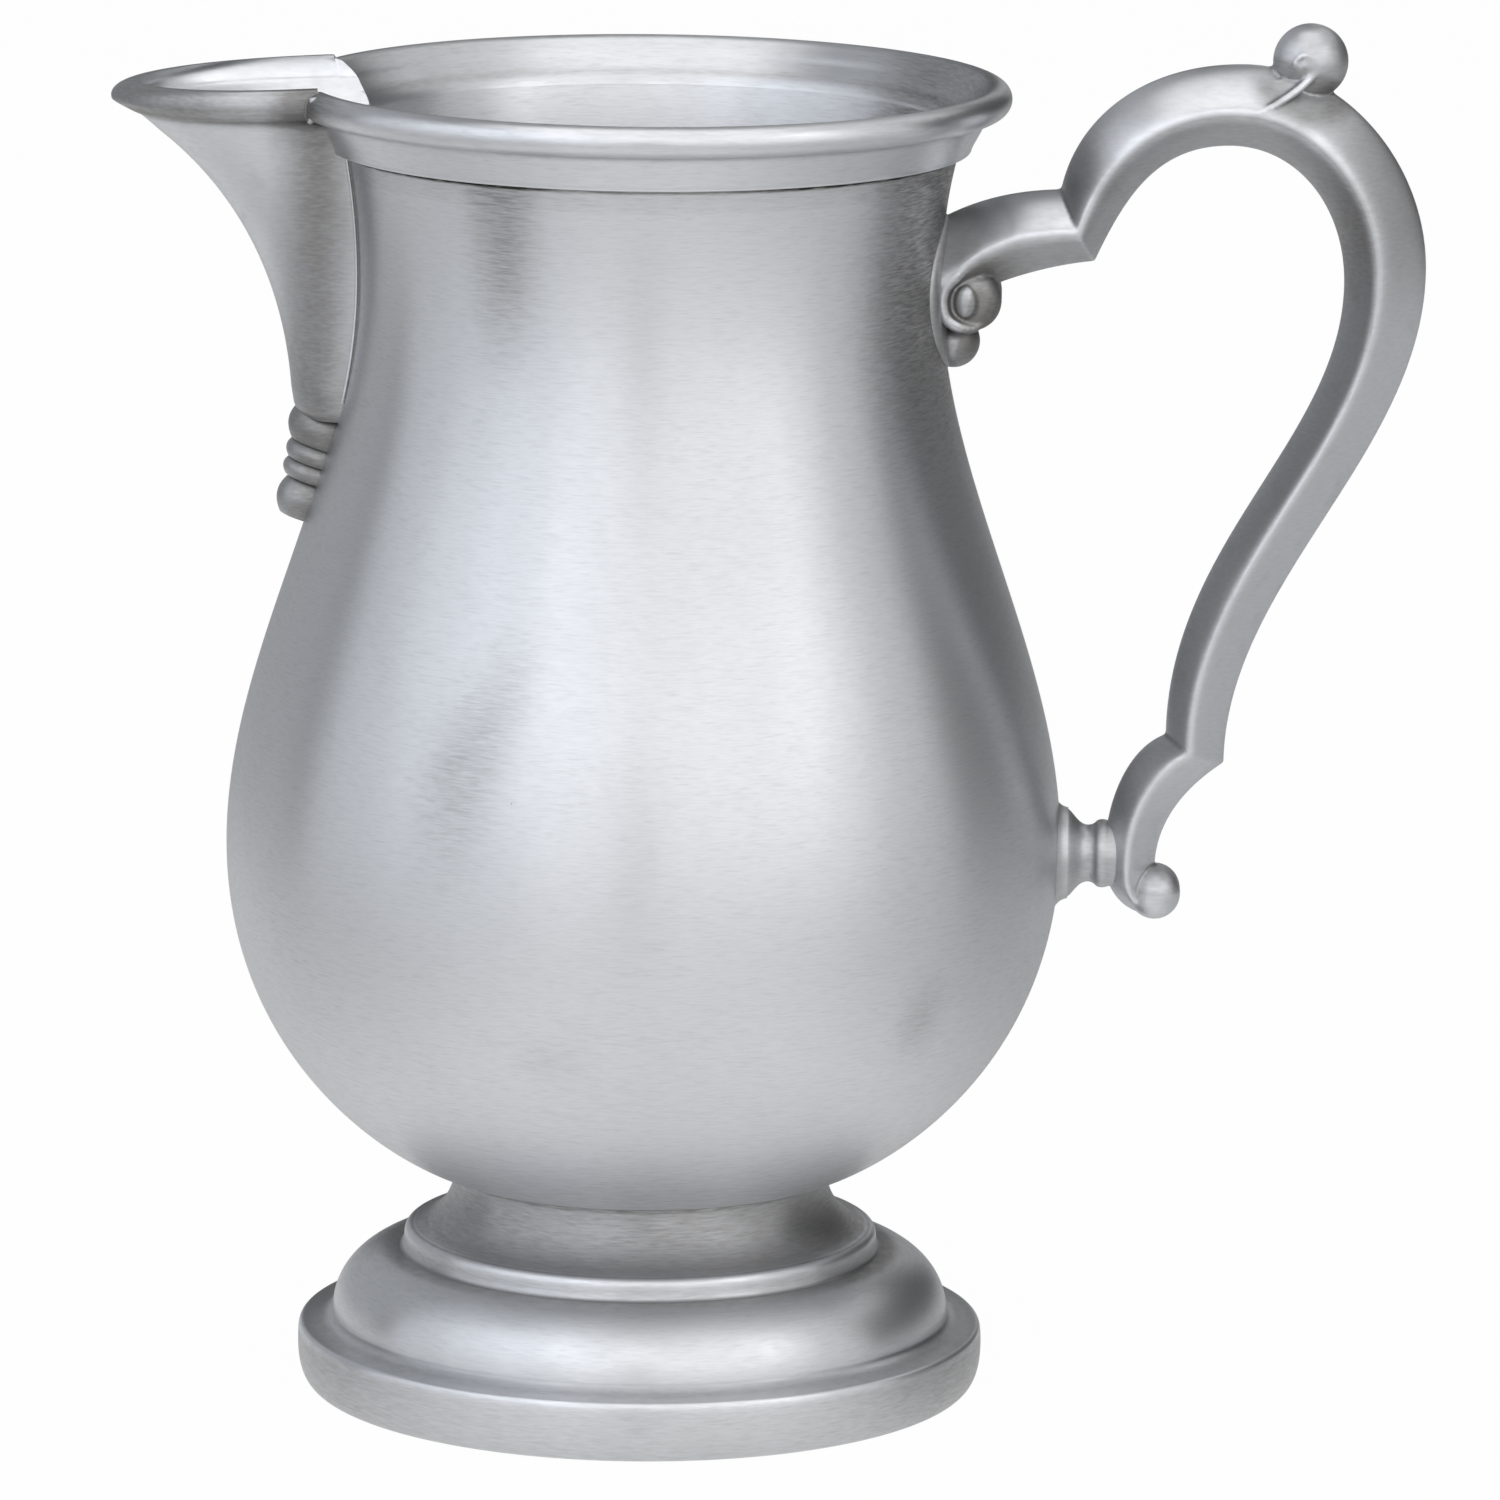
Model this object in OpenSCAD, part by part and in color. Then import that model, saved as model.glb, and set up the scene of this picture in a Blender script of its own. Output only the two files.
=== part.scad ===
// Pewter creamer: a footed pear-shaped cream jug with an applied spout and a scroll handle.
// The origin is the centre of the base, the spout points to -X and the handle to +X.

/* [Foot] */
// Radius of the foot at the crisp top edge of its wall
foot_r = 27; // [24:0.5:32]
// How far the bottom of the wall is drawn in from that edge
foot_tuck = 1.3; // [0.5:0.1:2]
// Height of the wall
foot_wall_h = 5; // [3:0.25:8]
// Width of the cove between the wall and the dome
cove_w = 2.5; // [1.5:0.1:3.5]
// Height of the cove
cove_h = 0.9; // [0.5:0.1:1.5]
// Width of the dome
dome_w = 5.4; // [4:0.2:6.4]
// Height of the dome
dome_h = 4.6; // [3.6:0.2:6]
// Height of the step on the dome
step_h = 2.1; // [1.2:0.1:3]
// How far the step leans in
step_lean = 0.4; // [0.1:0.1:0.8]
// Width of the hollow curve between the step and the neck of the foot
scotia_w = 3.9; // [3:0.1:4.8]
// Height of the hollow curve
scotia_h = 4.85; // [3.6:0.05:7]
// Wall thickness of the foot
foot_t = 1.5; // [1:0.1:1.8]
// Width of the flat ring that the jug stands on
foot_ring_w = 2.5; // [1.6:0.1:3.2]

/* [Body] */
// How far the body stands out past the neck of the foot
seat_lip = 0.4; // [0.2:0.1:1]
// Depth of the dished bottom below the edge of the seat
bottom_dish = 1.6; // [1:0.1:2.5]
// Tilt of the bottom where it leaves the foot, in degrees
bottom_tilt = 10; // [5:1:15]
// Radius of the belly
belly_r = 33; // [30:0.5:38]
// Height of the belly above the seat
belly_rise = 26.5; // [22:0.5:32]
// Radius of the neck
neck_r = 23; // [21:0.5:25]
// Height of the neck above the belly
neck_rise = 45.05; // [40:0.05:52]
// Radius of the mouth, outside
mouth_r = 25.6; // [24.5:0.1:27]
// Height of the edge of the mouth above the neck
mouth_rise = 14.2; // [12:0.2:17]
// Wall thickness of the body
body_t = 1.3; // [0.9:0.1:1.6]

/* [Rim moulding] */
// Radius of the round outer edge of the bead
bead_r = 1.3; // [1:0.05:1.6]
// How far the bead stands out past the mouth
bead_out = 2.75; // [2.2:0.05:3.4]
// Height of the bead above the edge of the mouth
bead_rise = 1.45; // [1.1:0.05:1.9]
// Height of the band, from its lower edge to the edge of the mouth
band_h = 4.4; // [3.6:0.1:5.4]
// How far the lower edge of the band stands out from the neck
band_proud = 0.95; // [0.4:0.05:1.2]

/* [Spout] */
// Reach of the lip past the mouth
spout_reach = 16.6; // [12:0.2:20]
// Half width of the lip
lip_half_w = 10.3; // [8:0.1:12]
// Half width of the trough along the neck
trough_half_w = 5; // [4:0.1:6.2]
// Height of the trough from its lower end to the edge of the mouth
trough_h = 25.4; // [22:0.2:28]
// How far the lower end of the trough stands out from the neck
trough_proud = 3.4; // [2.8:0.1:4.6]
// Height of the lip above the edge of the mouth
lip_rise = 1.7; // [0.8:0.1:2.2]
// How far the tip lies below the back of the lip
lip_fall = 0.9; // [0:0.1:1.6]
// Height of the bead along the lip
lip_bead_h = 2.6; // [1.8:0.1:3.4]
// How far the bead of the lip stands out
lip_bead_out = 0.6; // [0.3:0.1:1]
// Wall thickness of the spout
spout_t = 1.3; // [0.9:0.1:1.6]
// Height of the sill over which cream runs into the spout, above the lower end of the trough
sill_h = 4; // [3:0.2:8]

/* [Spout drop] */
// Radius of the top lobe
lobe_r = 3.4; // [2.6:0.1:4]
// Height of the top lobe
lobe_h = 2.8; // [2:0.1:3.4]
// Height of each of the two rings
ring_h = 1.3; // [0.9:0.1:1.8]
// Radius of the two rings
ring_r = 2.95; // [2.2:0.05:3.4]
// Height of the end lobe
tail_h = 3.5; // [2.4:0.1:4]
// Radius of the end lobe
tail_r = 2.6; // [1.9:0.1:3]

/* [Handle] */
// Thickness of the backplate
plate_t = 1; // [0.6:0.1:1.5]
// Height of the backplate
plate_h = 12; // [11:0.2:14]
// Width of the backplate
plate_w = 10.8; // [9.6:0.2:13]
// How far the volute lies below the narrowest part of the neck
volute_drop = 1.9; // [1:0.1:2.6]
// Reach of the grip out from the backplate
grip_reach = 36.85; // [32:0.05:44]
// Height of the arch of the grip above the volute
grip_rise = 19.35; // [16:0.05:23]
// Distance from the backplate to the top of the arch
arch_run = 22.4; // [20:0.2:25]
// Height of the outermost point of the grip above the volute
side_rise = 3.2; // [1:0.2:6]
// Thickness of the grip
grip_t = 6.4; // [5:0.1:7.4]
// Depth of the grip from side to side at the arch
grip_depth = 9.2; // [7.6:0.2:10.4]
// Depth of the grip at the lower scroll
scroll_depth = 7.2; // [6.2:0.2:8.6]
// Distance from the backplate to the upper break
arm_run = 8.2; // [7:0.1:9.4]
// Height of the upper break above the volute
arm_rise = 9.3; // [8.4:0.1:10.4]
// Thickness of the handle at the upper break
break_t = 6.2; // [5:0.1:6.8]
// Distance of the lower break from the strut
scroll_run = 9.1; // [8:0.1:10.5]
// Height of the lower break above the strut
scroll_rise = 7.5; // [6.6:0.1:8.6]
// Thickness of the handle at the lower break
scroll_t = 5.1; // [4.2:0.1:5.8]
// Radius of the thumb ball
thumb_r = 2.85; // [2.2:0.05:3.4]
// Radius of the roll in the volute
volute_r = 1.9; // [1.4:0.05:2.3]
// Radius of the roll at the end of the lower scroll
scroll_ball_r = 2.05; // [1.6:0.05:2.5]

/* [Strut] */
// How far the strut lies below the widest part of the belly
strut_drop = 0.5; // [-2:0.1:3]
// Length of the strut from the belly to the handle
strut_len = 3.7; // [3.2:0.1:5]
// Radius of the flange at the belly
flange_r = 3.6; // [3.2:0.1:4.4]
// Thickness of the flange
flange_t = 1; // [0.7:0.1:1.2]
// Radius of the waist
waist_r = 2.3; // [1.8:0.05:2.5]
// Radius of the collar at the handle
collar_r = 2.7; // [2.5:0.05:3]
// Width of the collar
collar_t = 0.9; // [0.6:0.1:1.2]
// Length of the tenon inside the handle
tenon = 1.2; // [0.8:0.1:1.8]

/* [Solder] */
// Gap that a soldered joint leaves between castings
solder_gap = 0.02; // [0.01:0.01:0.06]
// Leg of a solder fillet
solder_leg = 0.7; // [0.4:0.1:1]

/* [Hidden] */
$fn = 240;

// Pieces that each curve of the body, the foot, the spout and the handle is cut into
body_steps = 12;
foot_steps = 8;
spout_steps = 14;
handle_steps = 9;
// Points on each half of a handle section and of a spout section
section_steps = 4;
nose_steps = 8;
// Facets round a ball of the handle and round a fine bead
ball_fn = 32;
fine_fn = 12;
// Where the side edge lies between the inside and the outside of the handle
arris = 0.42;
// Amount by which a cutting shape runs past what it cuts
past = 5;

// Heights of the turned pieces
cove_z = foot_wall_h + cove_h;
step_z = cove_z + dome_h;
scotia_z = step_z + step_h;
seat_z = scotia_z + scotia_h;
belly_z = seat_z + belly_rise;
neck_z = belly_z + neck_rise;
mouth_z = neck_z + mouth_rise;
band_z = mouth_z - band_h;
lip_z = mouth_z + lip_rise;
trough_z = mouth_z - trough_h;
// Radii of the foot
dome_r = foot_r - cove_w;
step_r = dome_r - dome_w;
scotia_r = step_r - step_lean;
foot_neck_r = scotia_r - scotia_w;
seat_r = foot_neck_r + seat_lip;

// A point on a cubic curve, its direction there, and the whole curve, plain or moved to its left by d
function bez(p, t) = pow(1 - t, 3) * p[0] + 3 * t * pow(1 - t, 2) * p[1]
    + 3 * t * t * (1 - t) * p[2] + pow(t, 3) * p[3];
function bez_way(p, t) = pow(1 - t, 2) * (p[1] - p[0]) + 2 * t * (1 - t) * (p[2] - p[1])
    + t * t * (p[3] - p[2]);
function bez_left(p, t) = let (v = bez_way(p, t)) [-v[1], v[0]] / norm(v);
function curve(p, n) = [for (k = [0 : n]) bez(p, k / n)];
function curve_beside(p, n, d) = [for (k = [0 : n]) bez(p, k / n) + d * bez_left(p, k / n)];
function flip(list) = [for (k = [len(list) - 1 : -1 : 0]) list[k]];
// Points on an ellipse about c, from angle a to angle b
function arc(c, w, h, a, b) = [for (k = [0 : foot_steps])
    let (t = a + (b - a) * k / foot_steps) c + [w * cos(t), h * sin(t)]];

// Outside of the body, from the axis to the edge of the mouth
seat = [seat_r, seat_z];
belly = [belly_r, belly_z];
neck = [neck_r, neck_z];
mouth = [mouth_r, mouth_z];
tilt_way = [cos(bottom_tilt), sin(bottom_tilt)];
seat_pull = 4.6;
belly_pull_down = 17.4;
belly_pull_up = 15.2;
neck_pull_down = 15.8;
neck_pull_up = 5;
mouth_pull = [1.9, 4.4];
bottom = [0, seat_z - bottom_dish];
bottom_curve = [bottom, bottom + [seat_r / 4, 0], seat - seat_r / 2 * tilt_way, seat];
belly_curve = [seat, seat + seat_pull * tilt_way, belly - [0, belly_pull_down], belly];
shoulder_curve = [belly, belly + [0, belly_pull_up], neck - [0, neck_pull_down], neck];
mouth_curve = [neck, neck + [0, neck_pull_up], mouth - mouth_pull, mouth];
body_curves = [bottom_curve, belly_curve, shoulder_curve, mouth_curve];
body_outside = [for (c = body_curves) each curve(c, body_steps)];
body_inside = [for (c = body_curves) each curve_beside(c, body_steps, body_t)];
wall_table = [for (p = body_outside) if (p[1] > seat_z) [p[1], p[0]]];
bottom_table = curve(bottom_curve, body_steps);
function body_r(z) = lookup(z, wall_table);
function bottom_z(r) = lookup(r, bottom_table);

// The space inside the outline of the body and straight up from its mouth, grown by d
module body_space(d) rotate_extrude() polygon(concat(
    [for (p = body_outside) [p[0] + (p[0] > 0 ? d : 0), p[1]]],
    [[mouth_r + d, lip_z + past], [0, lip_z + past]]));

// Keel of the spout as [reach, height] and its side as [half width, height]
tip_x = mouth_r + spout_reach;
toe_h = 2.2;
toe_in = 0.9;
keel_foot = [body_r(trough_z) + trough_proud, trough_z + toe_h];
keel_pull = [0.6, 8];
tip_pull = [10, 6.4];
keel_tip = [tip_x - 0.2, mouth_z + 0.2];
side_foot = [trough_half_w, trough_z + toe_h];
side_lip = [lip_half_w, mouth_z];
side_pull = [0, 13];
lip_pull = [lip_half_w - trough_half_w + 0.4, 5.4];
keel_curve = [keel_foot, keel_foot + keel_pull, keel_tip - tip_pull, keel_tip];
side_curve = [side_foot, side_foot + side_pull, side_lip - lip_pull, side_lip];
function by_height(c) = [for (p = curve(c, spout_steps)) [p[1], p[0]]];
function toe(p) = [[trough_z, p[0] - toe_in], [trough_z + toe_h / 3, p[0] - toe_in / 4]];
keel_table = concat(toe(keel_foot), by_height(keel_curve), [[lip_z, tip_x]]);
side_table = concat(toe(side_foot), by_height(side_curve), [[lip_z, lip_half_w]]);
// Heights of the sections, closer together along the bead of the lip
bead_low = lip_z - lip_bead_h;
bead_steps = 8;
spout_levels = concat(
    [for (k = [0 : spout_steps]) trough_z + (bead_low - trough_z) * k / spout_steps],
    [for (k = [1 : bead_steps]) bead_low + lip_bead_h * (1 - cos(180 * k / bead_steps)) / 2]);
function lip_bead(z) = let (s = 2 * (z - bead_low) / lip_bead_h - 1) lip_bead_out * sqrt(max(0, 1 - s * s));
function spout_y(z) = lookup(z, side_table) + lip_bead(z);
// Half a level section of the spout, from the body to the tip, with its length and its half width changed
nose_root = 1;
nose_side = [0.62, 1.08];
nose_tip = [0.94, 0.58];
function nose(z, longer, wider) = let (
    back = body_r(min(z, mouth_z)) - nose_root,
    run = lookup(z, keel_table) + longer - back,
    y = lookup(z, side_table) + wider)
    curve([[-back, y], [-back - nose_side[0] * run, nose_side[1] * y],
           [-back - nose_tip[0] * run, nose_tip[1] * y], [-back - run, 0]], nose_steps);
function fall(x, z) = lip_fall * max(0, -x - mouth_r) / spout_reach * (z - trough_z) / (lip_z - trough_z);
function spout_ring(z, longer, wider, root) = let (
    half = nose(z, longer, wider),
    side = concat([[-root, half[0][1]]], half),
    whole = concat(side, [for (q = flip(side)) if (q[1] > 0) [q[0], -q[1]]]))
    [for (p = whole) [p[0], p[1], z - fall(p[0], z)]];

// One convex skin through each pair of neighbouring rings
module sheet(ring) polyhedron(ring, [[for (k = [0 : len(ring) - 1]) k]]);
module skin(rings) for (k = [0 : len(rings) - 2]) hull() {
    sheet(rings[k]);
    sheet(rings[k + 1]);
}

// The spout's outline in front view, as a bar that cuts through the front of the mouth
module spout_bar(wider, low) let (
    side = [for (z = spout_levels) if (z > low) [spout_y(z) + wider, z]],
    top = [side[len(side) - 1][0], lip_z + past],
    right = concat(side, [top]))
    rotate([90, 0, -90]) linear_extrude(tip_x)
        polygon(concat(right, [for (p = flip(right)) [-p[0], p[1]]]));

module body() color("silver") difference() {
    rotate_extrude() polygon(concat(body_outside, [[mouth_r - body_t, mouth_z]],
        [for (p = flip(body_inside)) if (p[1] < mouth_z) [max(0, p[0]), p[1]]]));
    spout_bar(-spout_t, trough_z + sill_h);
}

// The rim is a slanting band under a rounded bead, and wraps the edge of the mouth
module rim_section() let (
    top = mouth_z + bead_rise - bead_r,
    outer = [mouth_r + bead_out - bead_r, top],
    inner = [mouth_r - body_t + bead_r, top],
    band_r = body_r(band_z) + band_proud,
    ease = band_proud / 2,
    crease = [mouth_r + bead_out - 2 * bead_r + ease, mouth_z - band_h / 2],
    outline = concat([[neck_r, band_z], [band_r - ease, band_z], [band_r, band_z + ease], crease],
        arc(outer, bead_r, bead_r, -45, 90), arc(inner, bead_r, bead_r, 90, 180), [[neck_r, mouth_z]]))
    difference() {
        polygon(outline);
        polygon(concat(body_outside, [[0, mouth_z]]));
    }

module rim_moulding() color("gainsboro") difference() {
    rotate_extrude() rim_section();
    translate([0, 0, bottom[1]]) cylinder(belly_z, mouth_r - body_t, mouth_r - body_t);
    spout_bar(solder_gap, neck_z);
}

root_x = neck_r - 2 * body_t;
module spout_block(grow) skin([for (z = spout_levels)
    spout_ring(z, grow, lip_bead(z) + grow, root_x)]);

// The channel is open to the body behind and open above
module spout_channel() let (
    thin = 1.6 * spout_t,
    levels = [for (z = spout_levels) if (z > trough_z + sill_h) z],
    rings = [for (z = levels) spout_ring(z, -thin, -spout_t, 0)])
    skin(concat(rings, [[for (p = spout_ring(lip_z, -thin, -spout_t, 0)) p + [0, 0, past]]]));

module spout() color("lightsteelblue") difference() {
    spout_block(0);
    spout_channel();
    body_space(solder_gap);
}

// The drop is turned about a line that lies on the neck, so that half of it shows
drop_len = lobe_h + 2 * ring_h + tail_h;
drop_top = [body_r(trough_z), trough_z];
drop_end = [body_r(trough_z - drop_len), trough_z - drop_len];
drop_tilt = atan2(drop_end[0] - drop_top[0], drop_len);
// How far each lobe is rounded back at its upper and lower edge
lobe_round = 0.9;
ring_round = 0.3;
tail_round = 0.6;
lobe_steps = 4;
function lobe(r, h, top, back) = [for (k = [-lobe_steps : lobe_steps]) let (s = k / lobe_steps)
    [r - back * s * s, -top - h / 2 * (1 + s)]];
drop_outline = concat([[0, 0]], lobe(lobe_r, lobe_h, 0, lobe_round), lobe(ring_r, ring_h, lobe_h, ring_round),
    lobe((ring_r + tail_r) / 2, ring_h, lobe_h + ring_h, ring_round),
    lobe(tail_r, tail_h, lobe_h + 2 * ring_h, tail_round), [[0, -drop_len]]);

module spout_drop() color("lightgrey") difference() {
    translate([-drop_top[0], 0, drop_top[1] - solder_gap]) rotate([0, drop_tilt, 0])
        rotate_extrude() polygon(drop_outline);
    body_space(solder_gap);
}

// A fine fillet of solder runs up each side of the trough, from the drop to the band of the rim
module spout_solder() color("darkgrey") let (
    path = [for (z = spout_levels) if (z > trough_z + toe_h && z < band_z - solder_leg)
        let (y = spout_y(z)) [-sqrt(pow(body_r(z), 2) - y * y), y, z]])
    difference() {
        for (side = [-1, 1], k = [0 : len(path) - 2]) hull() for (p = [path[k], path[k + 1]])
            translate([p[0], side * p[1], p[2]]) sphere(solder_leg / 2, $fn = fine_fn);
        body_space(solder_gap);
        spout_block(solder_gap);
    }

// The foot is a hollow shell: wall, cove, dome, step and hollow neck
module foot() color("silver") let (
    base_r = foot_r - foot_tuck,
    bulge = 0.4,
    in_base = base_r - foot_ring_w,
    in_step = scotia_r - foot_t,
    in_neck = foot_neck_r - foot_t,
    in_dome_z = step_z - foot_t,
    in_scotia_z = scotia_z - foot_t,
    in_top = bottom_z(in_neck) - foot_t / 2,
    edge = [foot_r, foot_wall_h],
    wall = [[base_r, 0], [foot_r + bulge / 2, bulge / 2], edge + [bulge, -foot_wall_h / 2], edge],
    outside = concat(curve(wall, foot_steps), arc([foot_r, cove_z], cove_w, cove_h, 270, 180),
        arc([step_r, cove_z], dome_w, dome_h, 0, 90), arc([scotia_r, seat_z], scotia_w, scotia_h, 270, 180),
        [[foot_neck_r, bottom_z(foot_neck_r)]]),
    inside = concat([[in_neck, bottom_z(in_neck)]],
        arc([in_step, in_top], in_step - in_neck, in_top - in_scotia_z, 180, 270),
        arc([in_step, foot_wall_h], in_base - in_step, in_dome_z - foot_wall_h, 90, 0), [[in_base, 0]]))
    rotate_extrude() polygon(concat(outside, inside));

// A ring of solder fills the corner between the foot's neck and the bottom of the body, from inside the foot
module foot_solder() color("darkgrey") let (r = foot_neck_r - foot_t, s = r - solder_leg)
    rotate_extrude() polygon([[s, bottom_z(s)], [r, bottom_z(r) - solder_leg], [r, bottom_z(r)]]);

// Places on the handle's middle plane, as [x, z]
volute_z = neck_z - volute_drop;
strut_z = belly_z - strut_drop;
plate_z = volute_z + 1.2;
upper = [body_r(volute_z) + plate_t, volute_z];
lower = [body_r(strut_z) + strut_len, strut_z];
break_way = [cos(64), -sin(64)];
corner_way = [-cos(25), sin(25)];
break_top = upper + [arm_run, arm_rise];
break_low = break_top + break_t * break_way;
arch_top = upper + [arch_run, grip_rise];
arch_low = arch_top - [1, grip_t];
side_out = upper + [grip_reach, side_rise];
side_in = side_out - [grip_t, 1.1];
corner_out = lower + [scroll_run, scroll_rise];
corner_in = corner_out + scroll_t * corner_way;
scroll_out = lower + [3.8, -0.9];
scroll_in = lower - [0.2, 0.45];
scroll_ball = scroll_out - [0, scroll_ball_r];
arm_top = upper + [-2, 6.5];
arm_low = upper + [-2, -0.6];
// Rails of each stretch of the handle, outside and inside
function run_to(a, b, pull) = [a, a + [pull * (b[0] - a[0]), 0], b - [0, pull * (b[1] - a[1])], b];
function rise_to(a, b, lean, pull) = [a, a + [lean, pull * (b[1] - a[1])], b - [pull * (b[0] - a[0]), 0], b];
function ess(a, b, from_a, from_b) = let (h = b[1] - a[1]) [a, a + [0, from_a * h], b - [0, from_b * h], b];
arm_rails = [[arm_top, arm_top + [3.2, 1.9], break_top - [3.4, 0.1], break_top],
             [arm_low, arm_low + [4, 2.4], break_low - [4, 0.4], break_low]];
rise_rails = [rise_to(break_top, arch_top, 1.1, 0.56), rise_to(break_low, arch_low, 2.3, 0.55)];
arch_rails = [run_to(arch_top, side_out, 0.53), run_to(arch_low, side_in, 0.57)];
grip_rails = [ess(side_out, corner_out, 0.37, 0.37), ess(side_in, corner_in, 0.34, 0.43)];
scroll_rails = [[corner_out, corner_out - [2.9, 2], scroll_out + [0.1, 3.7], scroll_out],
                [corner_in, corner_in - [3, 1.1], scroll_in + [-0.1, 4.5], scroll_in]];
curl_rails = [[scroll_out, scroll_out - [0, 1], scroll_ball - [0.2, 0], scroll_ball],
              rise_to(scroll_in, scroll_ball - [0, scroll_ball_r], 0, 0.68)];

// Section between an inside point a and an outside point b: two bowed faces that meet at the side edges
function bowed(edge, face, w, s) = let (q = edge + (face - edge) * (1 - s * s)) [q[0], s * w, q[1]];
function section(a, b, w) = let (edge = a + arris * (b - a), m = section_steps) concat(
    [for (k = [-m : m - 1]) bowed(edge, b, w, k / m)],
    [for (k = [m : -1 : 1 - m]) bowed(edge, a, w, k / m)]);

module stretch(rails, depth_a, depth_b) skin([for (k = [0 : handle_steps]) let (t = k / handle_steps)
    section(bez(rails[1], t), bez(rails[0], t), (depth_a + (depth_b - depth_a) * t) / 2)]);

module ball(place, y, r, fn) translate([place[0], y, place[1]]) sphere(r, $fn = fn);

module roll(place, depth, r) hull() for (side = [-1, 1]) ball(place, side * (depth / 2 - r), r, ball_fn);

// The arm ends in a volute with a drop under it
volute_mid = upper + [volute_r - 0.1, 0];
drop_r = [1.5, 1.1];
module volute() {
    roll(volute_mid, grip_depth, volute_r);
    hull() {
        ball(volute_mid - [1.4, 2.2], 0, drop_r[0], ball_fn);
        ball(volute_mid - [1.6, 3.4], 0, drop_r[1], ball_fn);
    }
}

// A ball for the thumb, with a raised line on each side that sweeps up to it from the edge of the arch
thumb_mid = arch_top + [5.2, 0.45];
thumb_curve = [thumb_mid - [6, 4.7], thumb_mid - [3, 4.6], thumb_mid - [0.6, 3.2], thumb_mid + [0.6, -1.4]];
ridge_r = 0.45;
ridge_steps = 5;
function ridge_y(t) = let (y0 = grip_depth / 2 - ridge_r, y1 = thumb_r - ridge_r) y0 + (y1 - y0) * t * t;
module thumb() {
    ball(thumb_mid, 0, thumb_r, ball_fn);
    for (side = [-1, 1], k = [0 : ridge_steps - 1]) hull() for (t = [k, k + 1] / ridge_steps)
        ball(bez(thumb_curve, t), side * ridge_y(t), ridge_r, fine_fn);
}

module handle() color("lightgrey") difference() {
    union() {
        stretch(arm_rails, grip_depth, grip_depth);
        stretch(rise_rails, grip_depth, grip_depth);
        stretch(arch_rails, grip_depth, grip_depth);
        stretch(grip_rails, grip_depth, scroll_depth);
        stretch(scroll_rails, scroll_depth, scroll_depth);
        stretch(curl_rails, scroll_depth, scroll_ball_r);
        roll(scroll_ball, scroll_depth, scroll_ball_r);
        volute();
        thumb();
    }
    body_space(plate_t + solder_gap);
    translate([lower[0] - past, 0, lower[1]]) rotate([0, 90, 0])
        cylinder(past + tenon + solder_gap, collar_r + solder_gap, collar_r + solder_gap);
}

// The backplate follows the neck and has an oval outline
module handle_backplate() color("darkgrey") let (
    corners = 48,
    oval = [for (k = [1 : corners]) [plate_w * cos(360 * k / corners), plate_h * sin(360 * k / corners)] / 2])
    difference() {
        intersection() {
            body_space(plate_t);
            translate([neck_r / 2, 0, plate_z]) rotate([90, 0, 90]) linear_extrude(belly_r) polygon(oval);
        }
        body_space(0);
    }

// The strut is turned about X: flange, waist, collar and tenon
strut_root = 1.5;
module handle_strut() color("lightgrey") let (
    start = lower[0] - strut_len,
    flange = [flange_r, start + flange_t],
    collar = [collar_r, lower[0] - collar_t],
    waist = [waist_r, (flange[1] + collar[1]) / 2],
    bend = (collar[1] - flange[1]) / 4,
    outline = concat([[0, start - strut_root], [flange_r, start - strut_root]],
        curve([flange, flange + [-bend, bend], waist - [0, bend], waist], 6),
        curve([waist, waist + [0, bend], collar - [bend / 2, bend / 2], collar], 4),
        [[collar_r, lower[0] + tenon], [0, lower[0] + tenon]]))
    difference() {
        translate([0, 0, strut_z]) rotate([0, 90, 0]) rotate_extrude() polygon(outline);
        body_space(0);
    }

// A fillet of solder round the flange of the strut
module strut_solder() color("darkgrey") let (
    start = lower[0] - strut_len,
    r = flange_r,
    s = flange_r + solder_leg)
    difference() {
        translate([0, 0, strut_z]) rotate([0, 90, 0]) rotate_extrude()
            polygon([[r, start - strut_root], [s, start - strut_root], [s, start - solder_leg / 2],
                     [r, start + solder_leg]]);
        body_space(0);
    }

body();
rim_moulding();
spout();
spout_drop();
spout_solder();
foot();
foot_solder();
handle();
handle_backplate();
handle_strut();
strut_solder();
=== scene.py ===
import math

import bmesh
import bpy
import numpy as np
from mathutils import Matrix, Vector


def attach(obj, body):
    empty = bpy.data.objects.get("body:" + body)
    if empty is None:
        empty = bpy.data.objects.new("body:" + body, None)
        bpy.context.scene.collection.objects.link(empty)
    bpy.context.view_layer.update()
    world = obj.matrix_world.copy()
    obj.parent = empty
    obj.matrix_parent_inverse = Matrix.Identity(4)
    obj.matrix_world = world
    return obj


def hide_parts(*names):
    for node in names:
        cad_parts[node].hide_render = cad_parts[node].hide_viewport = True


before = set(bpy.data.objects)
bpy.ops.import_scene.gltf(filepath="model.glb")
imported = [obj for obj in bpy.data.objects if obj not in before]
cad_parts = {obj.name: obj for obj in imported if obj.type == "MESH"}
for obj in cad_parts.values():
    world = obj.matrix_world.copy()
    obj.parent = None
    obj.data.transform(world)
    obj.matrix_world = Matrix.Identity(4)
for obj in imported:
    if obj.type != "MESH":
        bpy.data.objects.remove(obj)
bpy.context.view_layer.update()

# Body: the pear-shaped shell of the jug, spun from one disc of pewter and brushed round on the lathe.
# A notch is cut in the front of the neck, as wide as the inside of the spout that is soldered over it.
MM = 0.001
seat = np.array([15.2, 17.45])
belly = np.array([33, 43.95])
neck = np.array([23, 89])
mouth = np.array([25.6, 103.2])
bottom = np.array([0, 15.85])
body_wall = 1.3
spout_wall = 1.3
spout_low = 77.8
sill = 81.8
thin_from = 101.6
thinned_by = 0.75
lip_top = 104.9


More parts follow.
